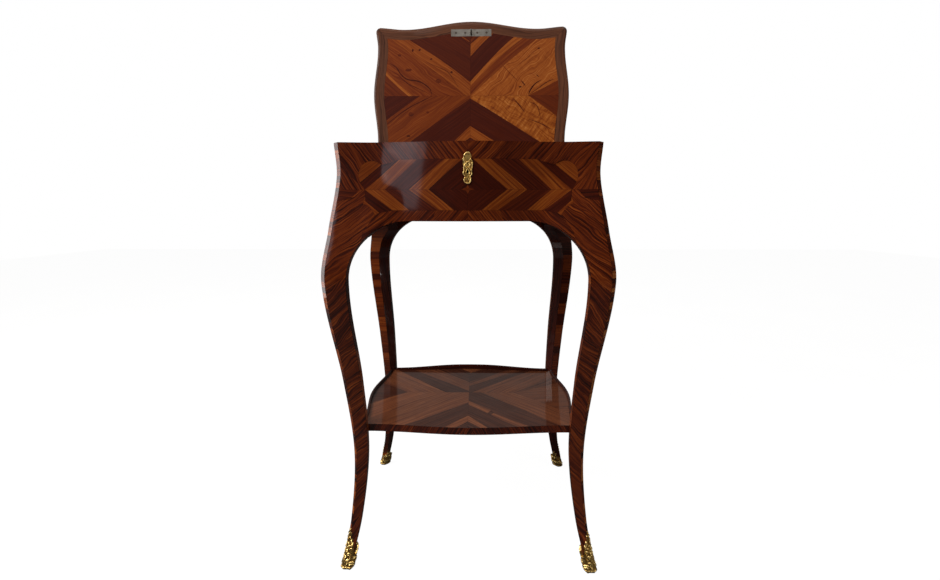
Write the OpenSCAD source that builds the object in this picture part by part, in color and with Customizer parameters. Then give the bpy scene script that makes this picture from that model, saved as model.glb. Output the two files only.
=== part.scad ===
// Small serpentine work table on four cabriole legs, with a lid hinged at the
// back, a box lock, a shelf between the legs and gilt feet.
// Front is -Y, back is +Y, the floor is Z = 0 and the origin is midway
// between the feet. The lid is drawn open, as it stands against its stops.

/* [Case] */
// Width of the case across its corners
case_w = 405; // [380:1:430]
// Depth of the case across its corners
case_d = 284; // [265:1:300]
// Height of the case's top edge above the floor
case_h = 720; // [690:1:750]
// Height of the rails in the middle of each side
rail_h = 116; // [104:1:128]
// Thickness of the rails
rail_t = 17; // [15:0.5:20]
// How far the middle of the front stands before its corners
front_bow = 8.5; // [5:0.5:12]
// How far the hollows of the front lie behind its corners
front_dip = 4.5; // [1:0.5:6]
// How far the middle of each side stands before its corners
side_bow = 4.5; // [2:0.5:8]
// How far the hollows of each side lie behind their corners
side_dip = 4.2; // [1:0.1:6]
// Radius of the arches under the front and back rails
arch_r = 94; // [80:1:100]
// Radius of the arches under the side rails
side_arch_r = 78; // [66:1:84]
// Thickness of the case's bottom board
floor_t = 9; // [7:0.5:12]
// Height of the bottom board's underside above the rails' lower edges
floor_up = 12; // [9:1:20]

/* [Legs] */
// Width of the corner posts on the front and back
post_w = 45; // [42:1:50]
// Width of the corner posts on the sides
post_d = 36; // [33:1:42]
// Width of a leg at the knee
knee_w = 39.5; // [36:0.5:43]
// Width of a leg at the ankle
ankle_w = 24; // [20:0.5:28]
// Width of a leg at the floor
toe_w = 14; // [12:0.5:18]
// Depth of a leg as a share of its width
leg_flat = 0.8; // [0.75:0.01:0.9]
// Share of a leg's width taken by the canted outer corner
outer_cant = 0.21; // [0.15:0.01:0.25]
// Share of a leg's width taken by the canted inner corner
inner_cant = 0.42; // [0.3:0.01:0.45]
// Outward swing of the leg at the floor
foot_out = 20; // [14:0.5:26]
// Outward swing of the shin
shin_out = 3.5; // [1:0.5:6]
// Height of the shin point above the floor
shin_z = 90; // [80:1:110]
// Inward swing of the ankle
ankle_in = 4.8; // [2:0.1:7]
// Height of the ankle above the floor
ankle_z = 210; // [190:1:225]
// Outward swing of the calf
calf_out = 4.5; // [2:0.5:8]
// Height of the calf point above the floor
calf_z = 340; // [325:1:360]
// Outward swing of the knee
knee_out = 24; // [18:0.5:28]
// Depth of the knee below the case's top edge
knee_drop = 210; // [200:1:220]
// Outward swing of the haunch
haunch_out = 12.2; // [8:0.2:16]
// Depth of the haunch below the case's top edge
haunch_drop = 130; // [124:1:138]
// Inward swing of the case's waist
waist_in = 1.5; // [0:0.1:3]
// Depth of the waist below the case's top edge
waist_drop = 48; // [40:1:56]

/* [Lid] */
// Thickness of the lid
lid_t = 15; // [13:0.5:18]
// Overhang of the lid past the case
lid_over = 2; // [0:0.5:4]
// Extra rise of the middle of the lid's front edge
lid_crown = 3; // [0:0.5:5]
// Radius of the lid's front corners
lid_corner_r = 10; // [6:1:14]
// Radius of the thumb moulding round the lid's upper edge
thumb_r = 6; // [4:0.5:8]
// Width of the border round the lid's field
border_w = 22; // [18:1:28]
// Thickness of the sheets of veneer
veneer_t = 1; // [0.6:0.1:1.5]
// Angle at which the lid stands open
lid_open = 100; // [92:1:106]
// Gap between the closed lid and the case
lid_gap = 0.4; // [0.3:0.1:1]

/* [Shelf] */
// Height of the shelf's upper face above the floor
shelf_z = 258; // [250:1:275]
// Thickness of the shelf
shelf_t = 13; // [10:0.5:16]
// How far the middle of the shelf's front and back stand out
shelf_bow = 11; // [6:1:15]
// How far the middle of the shelf's ends stand out
shelf_end_bow = 13; // [8:1:16]
// Depth of the housings that hold the shelf's corners in the legs
shelf_housing = 3; // [2:0.5:4]
// Width of the moulding round the shelf
rim_w = 4.5; // [3:0.5:7]
// Height of the moulding round the shelf
rim_h = 5.5; // [4:0.5:9]

/* [Hinges] */
// Distance of the middle of each hinge from the case's end
hinge_in = 84.5; // [74:0.5:110]
// Length of a hinge
hinge_l = 46; // [36:1:56]
// Depth of a hinge leaf
leaf_d = 13; // [11:0.5:14]
// Thickness of a hinge leaf
leaf_t = 1.6; // [1.2:0.1:2]
// Radius of a hinge pin
pin_r = 1.5; // [1.2:0.1:1.7]
// Radius of a hinge knuckle
knuckle_r = 3; // [2.8:0.1:3.4]

/* [Lock] */
// Length of the strike plate and of the lock's top plate
plate_l = 86; // [76:1:96]
// Width of the strike plate and of the lock's top plate
plate_w = 15; // [13:0.5:17]
// Thickness of both plates
plate_t = 1.6; // [1.2:0.1:2]
// Width of the lock's case
lock_w = 58; // [50:1:66]
// Depth of the lock's case
lock_d = 12; // [11:0.5:13]
// Height of the lock's case
lock_h = 55; // [50:1:60]
// Length of the staple under the strike plate
staple_l = 12; // [10:0.5:14]
// Thickness of the staple
staple_t = 3; // [2.5:0.1:3.5]
// Travel of the lock's bolt
bolt_travel = 7; // [6:0.5:8]
// Depth of the keyhole below the case's top edge
key_drop = 41; // [38:1:44]
// Radius of the keyhole's round end
key_r = 1.9; // [1.6:0.1:1.95]

/* [Mounts] */
// Height of the keyhole escutcheon
escutcheon_h = 48; // [42:1:54]
// Width of the keyhole escutcheon
escutcheon_w = 16; // [14:0.5:18]
// Thickness of the keyhole escutcheon
escutcheon_t = 2; // [1.6:0.1:3]
// Height of a gilt foot at the leg's outer corner
sabot_h = 66; // [56:1:76]
// Height of a gilt foot at the leg's inner corner
sabot_low = 26; // [20:1:32]
// Thickness of a gilt foot's shell at its top
sabot_t = 2.2; // [1.8:0.1:3]
// Extra thickness of a gilt foot near the floor
sabot_flare = 2.6; // [1:0.1:4]
// Thickness of a gilt foot's sole
sole_t = 8; // [6:0.5:10]

/* [Hidden] */

kingwood = [0.42, 0.20, 0.12];
dark_wood = [0.24, 0.11, 0.07];
light_wood = [0.66, 0.38, 0.18];
oak = [0.72, 0.56, 0.36];
gilt = [0.80, 0.62, 0.28];
brass = [0.74, 0.60, 0.32];
steel = [0.62, 0.62, 0.64];

// Clearance of parts that seat on each other
fit = 0.1;
// Small overrun for cuts
over = 1;
half_w = case_w / 2;
half_d = case_d / 2;
rail_z = case_h - rail_h;
hinge_x = half_w - hinge_in;
post_x = half_w - post_w;
post_y = half_d - post_d;
// Where the hollow of a serpentine lies between the middle and the corner
hollow_at = 0.7;
// Width of the stretch beside a post where the leg's swing dies away
fade_w = 60;

// The line of the leg's outer corner, as height and outward swing
leg_line = [
    [0, foot_out],
    [shin_z, shin_out],
    [ankle_z, -ankle_in],
    [calf_z, calf_out],
    [case_h - knee_drop, knee_out],
    [case_h - haunch_drop, haunch_out],
    [case_h - waist_drop, -waist_in],
    [case_h, 0]
];
// The leg's width, as height and width
leg_width = [[0, toe_w], [ankle_z, ankle_w], [case_h - knee_drop, knee_w]];

// Smooth curve through a list of points, by Hermite pieces
function seg(pts, t, i = 0) =
    (i >= len(pts) - 2 || t < pts[i + 1][0]) ? i : seg(pts, t, i + 1);
function rise(a, b) = (b[1] - a[1]) / (b[0] - a[0]);
function slope(pts, i) =
    i == 0 ? rise(pts[0], pts[1])
    : i == len(pts) - 1 ? rise(pts[i - 1], pts[i])
    : rise(pts[i - 1], pts[i + 1]);
function curve(pts, t) =
    let (
        i = seg(pts, t),
        a = pts[i],
        b = pts[i + 1],
        h = b[0] - a[0],
        u = (min(t, b[0]) - a[0]) / h
    )
    a[1] * (2 * u^3 - 3 * u^2 + 1) + b[1] * (3 * u^2 - 2 * u^3)
    + h * slope(pts, i) * (u^3 - 2 * u^2 + u)
    + h * slope(pts, i + 1) * (u^3 - u^2);

function ease(t) = (1 - cos(180 * min(1, max(0, t)))) / 2;
// Serpentine: bow at the middle, t = 0, hollow, and nothing at the corner, t = 1
function serpentine(t, bow, dip) =
    t < hollow_at
    ? bow - (bow + dip) * ease(t / hollow_at)
    : -dip * (1 - ease((t - hollow_at) / (1 - hollow_at)));

function swing(z) = curve(leg_line, z);
function width_at(z) = curve(leg_width, z);

// Outer face of a side of the case: distance out, at p along it and height z.
// side holds [half size outward, half size along, post edge, bow, dip].
side_front = [half_d, half_w, post_x, front_bow, front_dip];
side_back = [half_d, half_w, post_x, 0, 0];
side_end = [half_w, half_d, post_y, side_bow, side_dip];
function face(side, p, z) =
    let (s = swing(z) * ease((p - side[2] + fade_w) / fade_w))
    side[0] + s + serpentine(max(0, p - s) / side[1], side[3], side[4]);

// Arches: height of the spring line and distance of the centre from the middle
arch_z = rail_z - arch_r;
side_arch_z = rail_z - side_arch_r;
arch_x = half_w + swing(arch_z) - width_at(arch_z) - arch_r;
side_arch_y = half_d + swing(side_arch_z) - leg_flat * width_at(side_arch_z) - side_arch_r;
// Height of the arch at distance p from the middle
function arch_height(p, centre, r) =
    p <= centre ? rail_z : rail_z - r + sqrt(max(0, r^2 - (p - centre)^2));
// Inner edge of the leg's face at height z
function inner_edge(z, outer, width, centre, r, post) =
    z <= rail_z - r ? outer - width
    : max(post, centre + sqrt(max(0, r^2 - (min(z, rail_z) - rail_z + r)^2)));
function inner_x(z) = inner_edge(z, half_w + swing(z), width_at(z), arch_x, arch_r, post_x);
function inner_y(z) =
    inner_edge(z, half_d + swing(z), leg_flat * width_at(z), side_arch_y, side_arch_r, post_y);

// Section of the leg in the +X +Y quarter at height z, swollen by grow
function leg_ring(z, side, grow = 0) =
    let (
        ax = half_w + swing(z),
        by = half_d + swing(z),
        ai = inner_x(z) - grow,
        bi = inner_y(z) - grow,
        co = outer_cant * min(width_at(z), post_w),
        ca = inner_cant * min(ax - ai, post_w),
        cb = inner_cant * min(by - bi, post_d),
        ao = ax - co,
        bo = by - co
    )
    concat(
        [[ai, bi + cb, z], [ai + ca, bi, z]],
        [for (k = [0:2]) let (b = bi + (bo - bi) * k / 2) [face(side_end, b, z) + grow, b, z]],
        [for (k = [3:-1:0]) let (a = ai + (ao - ai) * k / 3) [a, face(side, a, z) + grow, z]]
    );

// Heights of the leg's sections: even below the arch, by angle in it
leg_steps = 26;
arch_steps = 9;
low_front = arch_height(post_x, arch_x, arch_r);
low_side = arch_height(post_y, side_arch_y, side_arch_r);
arch_end = acos(min(1, max(0, (post_x - arch_x) / arch_r)));
leg_levels = concat(
    [for (k = [0:leg_steps - 1]) sole_t + (arch_z - sole_t) * k / leg_steps],
    [for (k = [0:arch_steps]) arch_z + arch_r * sin(arch_end * k / arch_steps)],
    [for (k = [1:4]) low_front + (case_h - low_front) * k / 4]
);

function mean(pts) = [for (i = [0:2]) [for (p = pts) 1] * [for (p = pts) p[i]] / len(pts)];

// Solid through rings of points that run anticlockwise seen from the last ring,
// closed at each end by a fan round the ring's middle
module loft(rings) {
    n = len(rings[0]);
    m = len(rings);
    first = m * n;
    last = first + 1;
    polyhedron(
        points = concat([for (r = rings) for (p = r) p], [mean(rings[0]), mean(rings[m - 1])]),
        faces = concat(
            [for (j = [0:n - 1]) [first, j, (j + 1) % n]],
            [for (i = [0:m - 2]) for (j = [0:n - 1]) let (k = (j + 1) % n, a = i * n, b = a + n)
                each [[a + j, b + j, b + k], [a + j, b + k, a + k]]],
            [for (j = [0:n - 1]) let (a = (m - 1) * n) [last, a + (j + 1) % n, a + j]]
        )
    );
}

// Mirrors a shape from the +X +Y quarter to the left or the front
module to_quarter(left, front) {
    mirror([left ? 1 : 0, 0, 0]) mirror([0, front ? 1 : 0, 0]) children();
}

// Tenons: length, thickness, and the margins above and below them
tenon_l = 18;
tenon_t = 7;
tenon_top = 10;
tenon_low = 8;

module tenon(side, post, grow, low_z) {
    mid = face(side, post, case_h) - rail_t / 2;
    translate([post - over, mid - tenon_t / 2 - grow, low_z + tenon_low - grow])
        cube([
            tenon_l + over + grow,
            tenon_t + 2 * grow,
            case_h - tenon_top - low_z - tenon_low + 2 * grow
        ]);
}

module leg(left, front) {
    side = front ? side_front : side_back;
    color(kingwood) to_quarter(left, front) difference() {
        loft([for (z = leg_levels) leg_ring(z, side)]);
        tenon(side, post_x, fit, low_front);
        rotate(-90) mirror([1, 0, 0]) tenon(side_end, post_y, fit, low_side);
        shelf_slab(shelf_z - shelf_t - fit, shelf_z + fit, fit);
        shelf_dowel(fit / 2);
        sabot_pin(fit / 2);
    }
}

// A rail along X that faces +Y, arched below, with a tenon at each end
rail_steps = 36;
rail_rows = 6;
function stations(side) = [for (i = [0:rail_steps]) side[2] * (2 * i / rail_steps - 1)];
module rail(side, centre, r, low_z) {
    post = side[2];
    loft([
        for (x = stations(side))
            let (
                p = abs(x),
                low = arch_height(p, centre, r),
                back = face(side, p, case_h) - rail_t
            )
            concat(
                [[x, back, case_h], [x, back, low]],
                [for (k = [0:rail_rows])
                    let (z = low + (case_h - low) * k / rail_rows)
                    [x, face(side, p, z), z]]
            )
    ]);
    for (m = [0, 1]) mirror([m, 0, 0]) tenon(side, post, 0, low_z);
}

module rail_front() {
    color(kingwood) difference() {
        rotate(180) rail(side_front, arch_x, arch_r, low_front);
        lock_pocket();
        keyhole(lock_front + over, -half_d - front_bow - over);
        escutcheon_pin(fit / 2);
    }
}

module rail_rear() {
    color(kingwood) difference() {
        rail(side_back, arch_x, arch_r, low_front);
        for (m = [0, 1]) mirror([m, 0, 0]) translate([hinge_x, 0, 0]) hinge_pocket(false);
    }
}

module rail_end(left) {
    color(kingwood) rotate(left ? 90 : -90) rail(side_end, side_arch_y, side_arch_r, low_side);
}

// Inner outline of the case in one quarter, drawn in by inset, from the middle
// of the front or back to the middle of the end
function case_quarter(side, inset) = concat(
    [for (x = stations(side)) if (x >= 0)
        [min(x, post_x - inset), face(side, x, case_h) - rail_t - inset]],
    [[post_x - inset, post_y + inner_cant * post_d - inset]],
    [[post_x + inner_cant * post_w - inset, post_y - inset]],
    [for (y = stations(side_end)) if (y <= 0)
        [face(side_end, -y, case_h) - rail_t - inset, min(-y, post_y - inset)]]
);
function reversed(pts) = [for (k = [len(pts) - 1:-1:0]) pts[k]];
function flipped(pts, x, y) = [for (p = pts) [x * p[0], y * p[1]]];
module case_outline(inset) {
    back = case_quarter(side_back, inset);
    front = case_quarter(side_front, inset);
    polygon(concat(
        back,
        reversed(flipped(front, 1, -1)),
        flipped(front, -1, -1),
        reversed(flipped(back, -1, 1))
    ));
}

floor_z = rail_z + floor_up;
floor_gap = 0.3;
module case_floor() {
    color(oak) translate([0, 0, floor_z]) linear_extrude(floor_t) case_outline(floor_gap);
}

// Strips glued to the rails, on which the floor of the case lies
bearer_w = 11;
bearer_h = 9;
module bearer(side, reach) {
    pts = [for (x = stations(side)) if (abs(x) <= reach)
        [x, face(side, abs(x), case_h) - rail_t]];
    translate([0, 0, floor_z - bearer_h]) linear_extrude(bearer_h)
        polygon(concat(reversed(pts), [for (p = pts) [p[0], p[1] - bearer_w]]));
}

module floor_bearers() {
    color(oak) {
        bearer(side_back, arch_x);
        rotate(180) bearer(side_front, arch_x);
        for (a = [90, -90]) rotate(a) bearer(side_end, side_arch_y);
    }
}

// Shelf: the legs' inner arrises at the shelf's height set its corners
shelf_mid = shelf_z - shelf_t / 2;
arris = leg_ring(shelf_mid, side_back);
corner_p = [arris[0][0], arris[0][1]];
corner_q = [arris[1][0], arris[1][1]];
cant_dir = (corner_q - corner_p) / norm(corner_q - corner_p);
cant_out = [-cant_dir[1], cant_dir[0]];
function shelf_y(x) = corner_p[1] + shelf_bow * ease(1 - abs(x) / corner_p[0]);
function shelf_x(y) = corner_q[0] + shelf_end_bow * ease(1 - abs(y) / corner_q[1]);

shelf_steps = 14;
module shelf_outline(grow = 0) {
    deep = shelf_housing + grow;
    quarter = concat(
        [for (k = [0:shelf_steps]) let (y = corner_q[1] * k / shelf_steps) [shelf_x(y), y]],
        [corner_q + cant_out * deep, corner_p + cant_out * deep],
        [for (k = [shelf_steps:-1:0]) let (x = corner_p[0] * k / shelf_steps) [x, shelf_y(x)]]
    );
    n = len(quarter) - 1;
    polygon(concat(
        [for (p = quarter) p],
        [for (k = [n - 1:-1:0]) [-quarter[k][0], quarter[k][1]]],
        [for (k = [1:n]) [-quarter[k][0], -quarter[k][1]]],
        [for (k = [n - 1:-1:1]) [quarter[k][0], -quarter[k][1]]]
    ));
}

module shelf_slab(low, high, grow = 0) {
    translate([0, 0, low]) linear_extrude(high - low) shelf_outline(grow);
}

module shelf_board() {
    color(oak) difference() {
        shelf_slab(shelf_z - shelf_t, shelf_z - veneer_t);
        for (l = [false, true]) for (f = [false, true]) to_quarter(l, f) shelf_dowel(fit / 2);
    }
}

module shelf_veneer() {
    color(light_wood) shelf_slab(shelf_z - veneer_t, shelf_z);
}

// Bead on the shelf: rounded section swept along the edge by stations
function bead(w, h) = concat(
    [[0, 0], [w, 0]],
    [for (a = [0:30:180]) [w / 2 + w / 2 * cos(a), h - w / 2 + w / 2 * sin(a)]]
);
rim_steps = 20;
rim_gap = 0.4;
module shelf_rim_back() {
    reach = corner_p[0] - rim_gap;
    color(dark_wood) loft([
        for (i = [0:rim_steps])
            let (x = reach - 2 * reach * i / rim_steps)
            [for (p = bead(rim_w, rim_h)) [x, shelf_y(x) - p[0], shelf_z + p[1]]]
    ]);
}

module shelf_rim_end(left) {
    reach = corner_q[1] - rim_gap;
    color(dark_wood) mirror([left ? 1 : 0, 0, 0]) loft([
        for (i = [0:rim_steps])
            let (y = -reach + 2 * reach * i / rim_steps)
            [for (p = bead(rim_w, rim_h)) [shelf_x(y) - p[0], y, shelf_z + p[1]]]
    ]);
}

// Dowels between the shelf's corners and the legs
dowel_r = 2.5;
dowel_l = 20;
module shelf_dowel(grow) {
    middle = (corner_p + corner_q) / 2 + cant_out * shelf_housing;
    turn = atan2(cant_out[1], cant_out[0]);
    translate([middle[0], middle[1], shelf_mid - veneer_t / 2]) rotate([0, 90, turn])
        cylinder(r = dowel_r + grow, h = dowel_l + 2 * grow, center = true, $fn = 32);
}
module shelf_dowels() {
    color(oak) for (l = [false, true]) for (f = [false, true]) to_quarter(l, f) shelf_dowel(0);
}

// Lid, drawn closed and then turned open about the hinge pins
hinge_gap = 0.4;
hinge_y = half_d + knuckle_r + hinge_gap;
hinge_z = case_h + lid_gap / 2;
lid_z = case_h + lid_gap;
module on_lid() {
    translate([0, hinge_y, hinge_z]) rotate([-lid_open, 0, 0])
        translate([0, -hinge_y, -hinge_z]) children();
}

function lid_front(x, inset) =
    half_d + lid_over + serpentine(min(1, abs(x) / half_w), front_bow, front_dip)
    + lid_crown * ease(1 - abs(x) / half_w / hollow_at) - inset;
function lid_side(y, inset) =
    half_w + lid_over + serpentine(min(1, abs(y) / half_d), side_bow, side_dip) - inset;

lid_steps = 12;
arc_steps = 4;
// Outline of the lid drawn in by inset, anticlockwise from the back's middle
function lid_half(inset) =
    let (
        r = max(1, lid_corner_r - inset),
        y1 = half_d + lid_over - inset - r,
        x1 = lid_side(y1, inset),
        cx = x1 - r,
        ry = lid_front(cx, inset) - y1,
        top = half_d - inset
    )
    concat(
        [for (k = [0:lid_steps])
            let (y = top - (top + y1) * k / lid_steps)
            [lid_side(y, inset), y]],
        [for (k = [1:arc_steps])
            let (a = 90 * k / arc_steps)
            [cx + r * cos(a), -y1 - ry * sin(a)]],
        [for (k = [1:lid_steps])
            let (x = cx * (1 - k / lid_steps))
            [x, -lid_front(x, inset)]]
    );
function lid_outline(inset) =
    let (h = lid_half(inset))
    concat(
        [for (p = h) [-p[0], p[1]]],
        [for (k = [len(h) - 2:-1:0]) h[k]]
    );

thumb_steps = 4;
// Inset of the thumb moulding as a share of its height, and the lower arris
thumb_share = 0.8;
lid_arris = 0.8;
// Heights and insets of the lid's edge from its underside up
lid_profile = concat(
    [[0, lid_arris], [lid_arris, 0]],
    [for (k = [0:thumb_steps]) let (a = 90 * k / thumb_steps)
        [lid_t - thumb_r + thumb_r * sin(a), thumb_share * thumb_r * (1 - cos(a))]]
);
module lid_body() {
    loft([for (q = lid_profile) [for (p = lid_outline(q[1])) [p[0], p[1], lid_z + q[0]]]]);
}
module lid_field(low, high) {
    translate([0, 0, lid_z + low]) linear_extrude(high - low) polygon(lid_outline(border_w));
}

// Mitred quarter of the border: front (0), right end (1) or back (2)
mitre_far = 40;
module mitre(turn) {
    x = half_w + lid_over;
    y = half_d + lid_over;
    b = border_w + max(front_dip, side_dip) + 2;
    front_out = [[-x - mitre_far, -y - mitre_far], [x + mitre_far, -y - mitre_far]];
    front_in = [[x - b, -y + b], [-x + b, -y + b]];
    back_out = [[x + mitre_far, half_d + mitre_far], [-x - mitre_far, half_d + mitre_far]];
    back_in = [[-x + b, half_d - b], [x - b, half_d - b]];
    pts = turn == 0 ? concat(front_out, front_in)
        : turn == 2 ? concat(back_out, back_in)
        : [front_out[1], back_out[0], back_in[1], front_in[0]];
    translate([0, 0, lid_z - over]) linear_extrude(lid_t + 2 * over) polygon(pts);
}
module lid_edge(turn) {
    intersection() {
        difference() {
            lid_body();
            lid_field(-over, lid_t + over);
        }
        mitre(turn);
    }
}

module lid_core() {
    color(oak) on_lid() difference() {
        lid_field(veneer_t, lid_t - veneer_t);
        strike_pocket();
    }
}
module lid_inner_veneer() {
    color(light_wood) on_lid() difference() {
        lid_field(0, veneer_t);
        strike_pocket();
    }
}
module lid_outer_veneer() {
    color(kingwood) on_lid() lid_field(lid_t - veneer_t, lid_t);
}
module lid_edge_front() {
    color(dark_wood) on_lid() difference() {
        lid_edge(0);
        strike_pocket();
    }
}
module lid_edge_back() {
    color(dark_wood) on_lid() difference() {
        lid_edge(2);
        for (m = [0, 1]) mirror([m, 0, 0]) translate([hinge_x, 0, 0]) hinge_pocket(true);
    }
}
module lid_edge_end(left) {
    color(dark_wood) on_lid() mirror([left ? 1 : 0, 0, 0]) lid_edge(1);
}

// Screws: countersunk head, shank and slot, pointing down, head at Z = 0
screw_r = 1.1;
screw_head_r = 2.3;
screw_head_h = 1.3;
screw_l = 9;
screw_slot = 0.6;
module screw() {
    difference() {
        union() {
            translate([0, 0, -screw_head_h])
                cylinder(r1 = screw_r, r2 = screw_head_r, h = screw_head_h, $fn = 32);
            translate([0, 0, -screw_l])
                cylinder(r = screw_r, h = screw_l - screw_head_h, $fn = 32);
        }
        translate([-screw_head_r - over, -screw_slot / 2, -screw_slot])
            cube([2 * (screw_head_r + over), screw_slot, over + screw_slot]);
    }
}
module screw_hole() {
    translate([0, 0, -screw_head_h])
        cylinder(r1 = screw_r + fit, r2 = screw_head_r + fit, h = screw_head_h + 0.01, $fn = 32);
    translate([0, 0, -screw_l - fit])
        cylinder(r = screw_r + fit / 2, h = screw_l + fit, $fn = 32);
}

// One screw or hole at each spot, down from height z, or up when up is true
module at_spots(spots, z, up) {
    for (p = spots) translate([p[0], p[1], z]) mirror([0, 0, up ? 1 : 0]) children();
}

// Hinges: five knuckles, three on the case and two on the lid, with stop lugs
knuckles = 5;
knuckle_gap = 0.3;
knuckle_l = hinge_l / knuckles;
leaf_y = hinge_y - leaf_d - knuckle_r;
hinge_spots = [
    [-hinge_l / 3, leaf_y + leaf_d * 0.35],
    [0, leaf_y + leaf_d * 0.62],
    [hinge_l / 3, leaf_y + leaf_d * 0.35]
];
// Stop lugs: reach from the pin, thickness, and angles from level at the stop
lug_r = 6.5;
lug_t = 1.2;
lug_root = 0.6;
case_lug = -95;
lid_lug = -68;

// Room for one leaf and its screws; up is the lid's
module hinge_pocket(up) {
    translate([-hinge_l / 2 - fit, leaf_y - fit, up ? lid_z - over : case_h - leaf_t - fit])
        cube([hinge_l + 2 * fit, leaf_d + knuckle_r + over, leaf_t + fit + over]);
    at_spots(hinge_spots, up ? lid_z : case_h, up) screw_hole();
}

module lug(up, x, length, r1, r2) {
    translate([x, hinge_y, hinge_z]) rotate([up ? lid_open + lid_lug : case_lug, 0, 0])
        translate([0, r1, -lug_t / 2]) cube([length, r2 - r1, lug_t]);
}

module hinge_leaf(up) {
    width = knuckle_l - knuckle_gap;
    low = up ? lid_z : case_h - leaf_t;
    difference() {
        union() {
            translate([-hinge_l / 2, leaf_y, low]) cube([hinge_l, leaf_d - hinge_gap, leaf_t]);
            for (i = [up ? 1 : 0:2:knuckles - 1])
                translate([-hinge_l / 2 + i * knuckle_l + knuckle_gap / 2, 0, 0]) {
                    translate([0, hinge_y, hinge_z]) rotate([0, 90, 0])
                        cylinder(r = knuckle_r, h = width, $fn = 48);
                    translate([0, leaf_y + over, low])
                        cube([width, hinge_y - leaf_y - over, leaf_t]);
                    lug(up, knuckle_gap, width - 2 * knuckle_gap,
                        pin_r + lug_root, knuckle_r + 2 * hinge_gap);
                }
            lug(up, -hinge_l / 2, hinge_l, knuckle_r + knuckle_gap, lug_r);
        }
        translate([-hinge_l / 2 - over, hinge_y, hinge_z]) rotate([0, 90, 0])
            cylinder(r = pin_r + fit / 2, h = hinge_l + 2 * over, $fn = 48);
        at_spots(hinge_spots, up ? lid_z : case_h, up) screw_hole();
    }
}

module hinge_case_leaf(s) {
    color(brass) translate([s * hinge_x, 0, 0]) hinge_leaf(false);
}
module hinge_lid_leaf(s) {
    color(brass) on_lid() translate([s * hinge_x, 0, 0]) hinge_leaf(true);
}
module hinge_pin(s) {
    color(steel) translate([s * hinge_x - hinge_l / 2 - over / 2, hinge_y, hinge_z])
        rotate([0, 90, 0]) cylinder(r = pin_r, h = hinge_l + over, $fn = 48);
}
module hinge_screws() {
    color(steel) for (s = [-1, 1]) translate([s * hinge_x, 0, 0])
        at_spots(hinge_spots, case_h, false) screw();
}
module hinge_lid_screws() {
    color(steel) on_lid() for (s = [-1, 1]) translate([s * hinge_x, 0, 0])
        at_spots(hinge_spots, lid_z, true) screw();
}

// Strike plate and staple on the lid, over the lock
lock_y = -half_d - front_bow + 0.55 * rail_t + plate_w / 2 + 2;
strike_spots = [for (x = [-0.38, -0.15, 0.15, 0.38]) [x * plate_l, lock_y]];
// The staple's width, and the hole in it for the bolt
staple_w = 7;
hole_w = 4;
hole_h = 4.6;
bolt_z = lid_z - staple_l + 4;

module strike_pocket() {
    translate([-plate_l / 2 - fit, lock_y - plate_w / 2 - fit, lid_z - over])
        cube([plate_l + 2 * fit, plate_w + 2 * fit, plate_t + over + fit]);
    at_spots(strike_spots, lid_z, true) screw_hole();
}
module strike_plate() {
    color(steel) on_lid() difference() {
        union() {
            translate([-plate_l / 2, lock_y - plate_w / 2, lid_z])
                cube([plate_l, plate_w, plate_t]);
            translate([-staple_t / 2, lock_y - staple_w / 2, bolt_z])
                cube([staple_t, staple_w, lid_z + plate_t / 2 - bolt_z]);
            translate([-staple_t / 2, lock_y, bolt_z]) rotate([0, 90, 0])
                cylinder(r = staple_w / 2, h = staple_t, $fn = 40);
        }
        translate([-staple_t / 2 - over, lock_y - hole_w / 2, bolt_z - hole_h / 2])
            cube([staple_t + 2 * over, hole_w, hole_h]);
        at_spots(strike_spots, lid_z, true) screw_hole();
    }
}
module strike_screws() {
    color(steel) on_lid() at_spots(strike_spots, lid_z, true) screw();
}

// Lock: an open box behind the front rail, with a cover, a bolt and its spring
wall = 1.5;
lock_top = case_h - plate_t;
lock_low = lock_top - lock_h;
lock_front = lock_y - lock_d / 2;
lock_back = lock_y + lock_d / 2;
lock_spots = [for (s = [-1, 1]) [s * 0.42 * plate_l, lock_y - 0.3 * plate_w]];
// Clearance of the staple in its slot and of the bolt between the walls
slot_gap = 0.8;
bolt_gap = 0.3;
// Radii of the post for the key and of the rivets, and the rivets' inset
post_r = 1.4;
rivet_r = 1.2;
rivet_in = 5;
rivet_head = 0.8;

module staple_slot(low) {
    translate([-staple_t / 2 - slot_gap, lock_y - staple_w / 2 - slot_gap, low])
        cube([staple_t + 2 * slot_gap, staple_w + 2 * slot_gap, case_h + over - low]);
}

module lock_pocket() {
    translate([-plate_l / 2 - fit, lock_y - plate_w / 2 - fit, case_h - plate_t - fit])
        cube([plate_l + 2 * fit, plate_w + rail_t, plate_t + fit + over]);
    translate([-lock_w / 2 - fit, lock_front - fit, lock_low - fit])
        cube([lock_w + 2 * fit, lock_d + rail_t, lock_h + over]);
    at_spots(lock_spots, case_h, false) screw_hole();
}

keyhole_drop = 6.5;
module keyhole(y_in, y_out) {
    z = case_h - key_drop;
    translate([0, y_in, z]) rotate([90, 0, 0]) cylinder(r = key_r, h = y_in - y_out, $fn = 32);
    translate([-key_r * 0.55, y_out, z - keyhole_drop])
        cube([key_r * 1.1, y_in - y_out, keyhole_drop]);
}

module lock_top_plate() {
    color(brass) difference() {
        translate([-plate_l / 2, lock_y - plate_w / 2, lock_top])
            cube([plate_l, plate_w, plate_t]);
        staple_slot(lock_top - over);
        at_spots(lock_spots, case_h, false) screw_hole();
    }
}

module lock_case() {
    color(brass) difference() {
        translate([-lock_w / 2, lock_front, lock_low]) cube([lock_w, lock_d - wall, lock_h]);
        translate([-lock_w / 2 + wall, lock_front + wall, lock_low + wall])
            cube([lock_w - 2 * wall, lock_d, lock_h - 2 * wall]);
        staple_slot(lock_top - wall - over);
        keyhole(lock_front + wall + over / 2, lock_front - over);
    }
}

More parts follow.
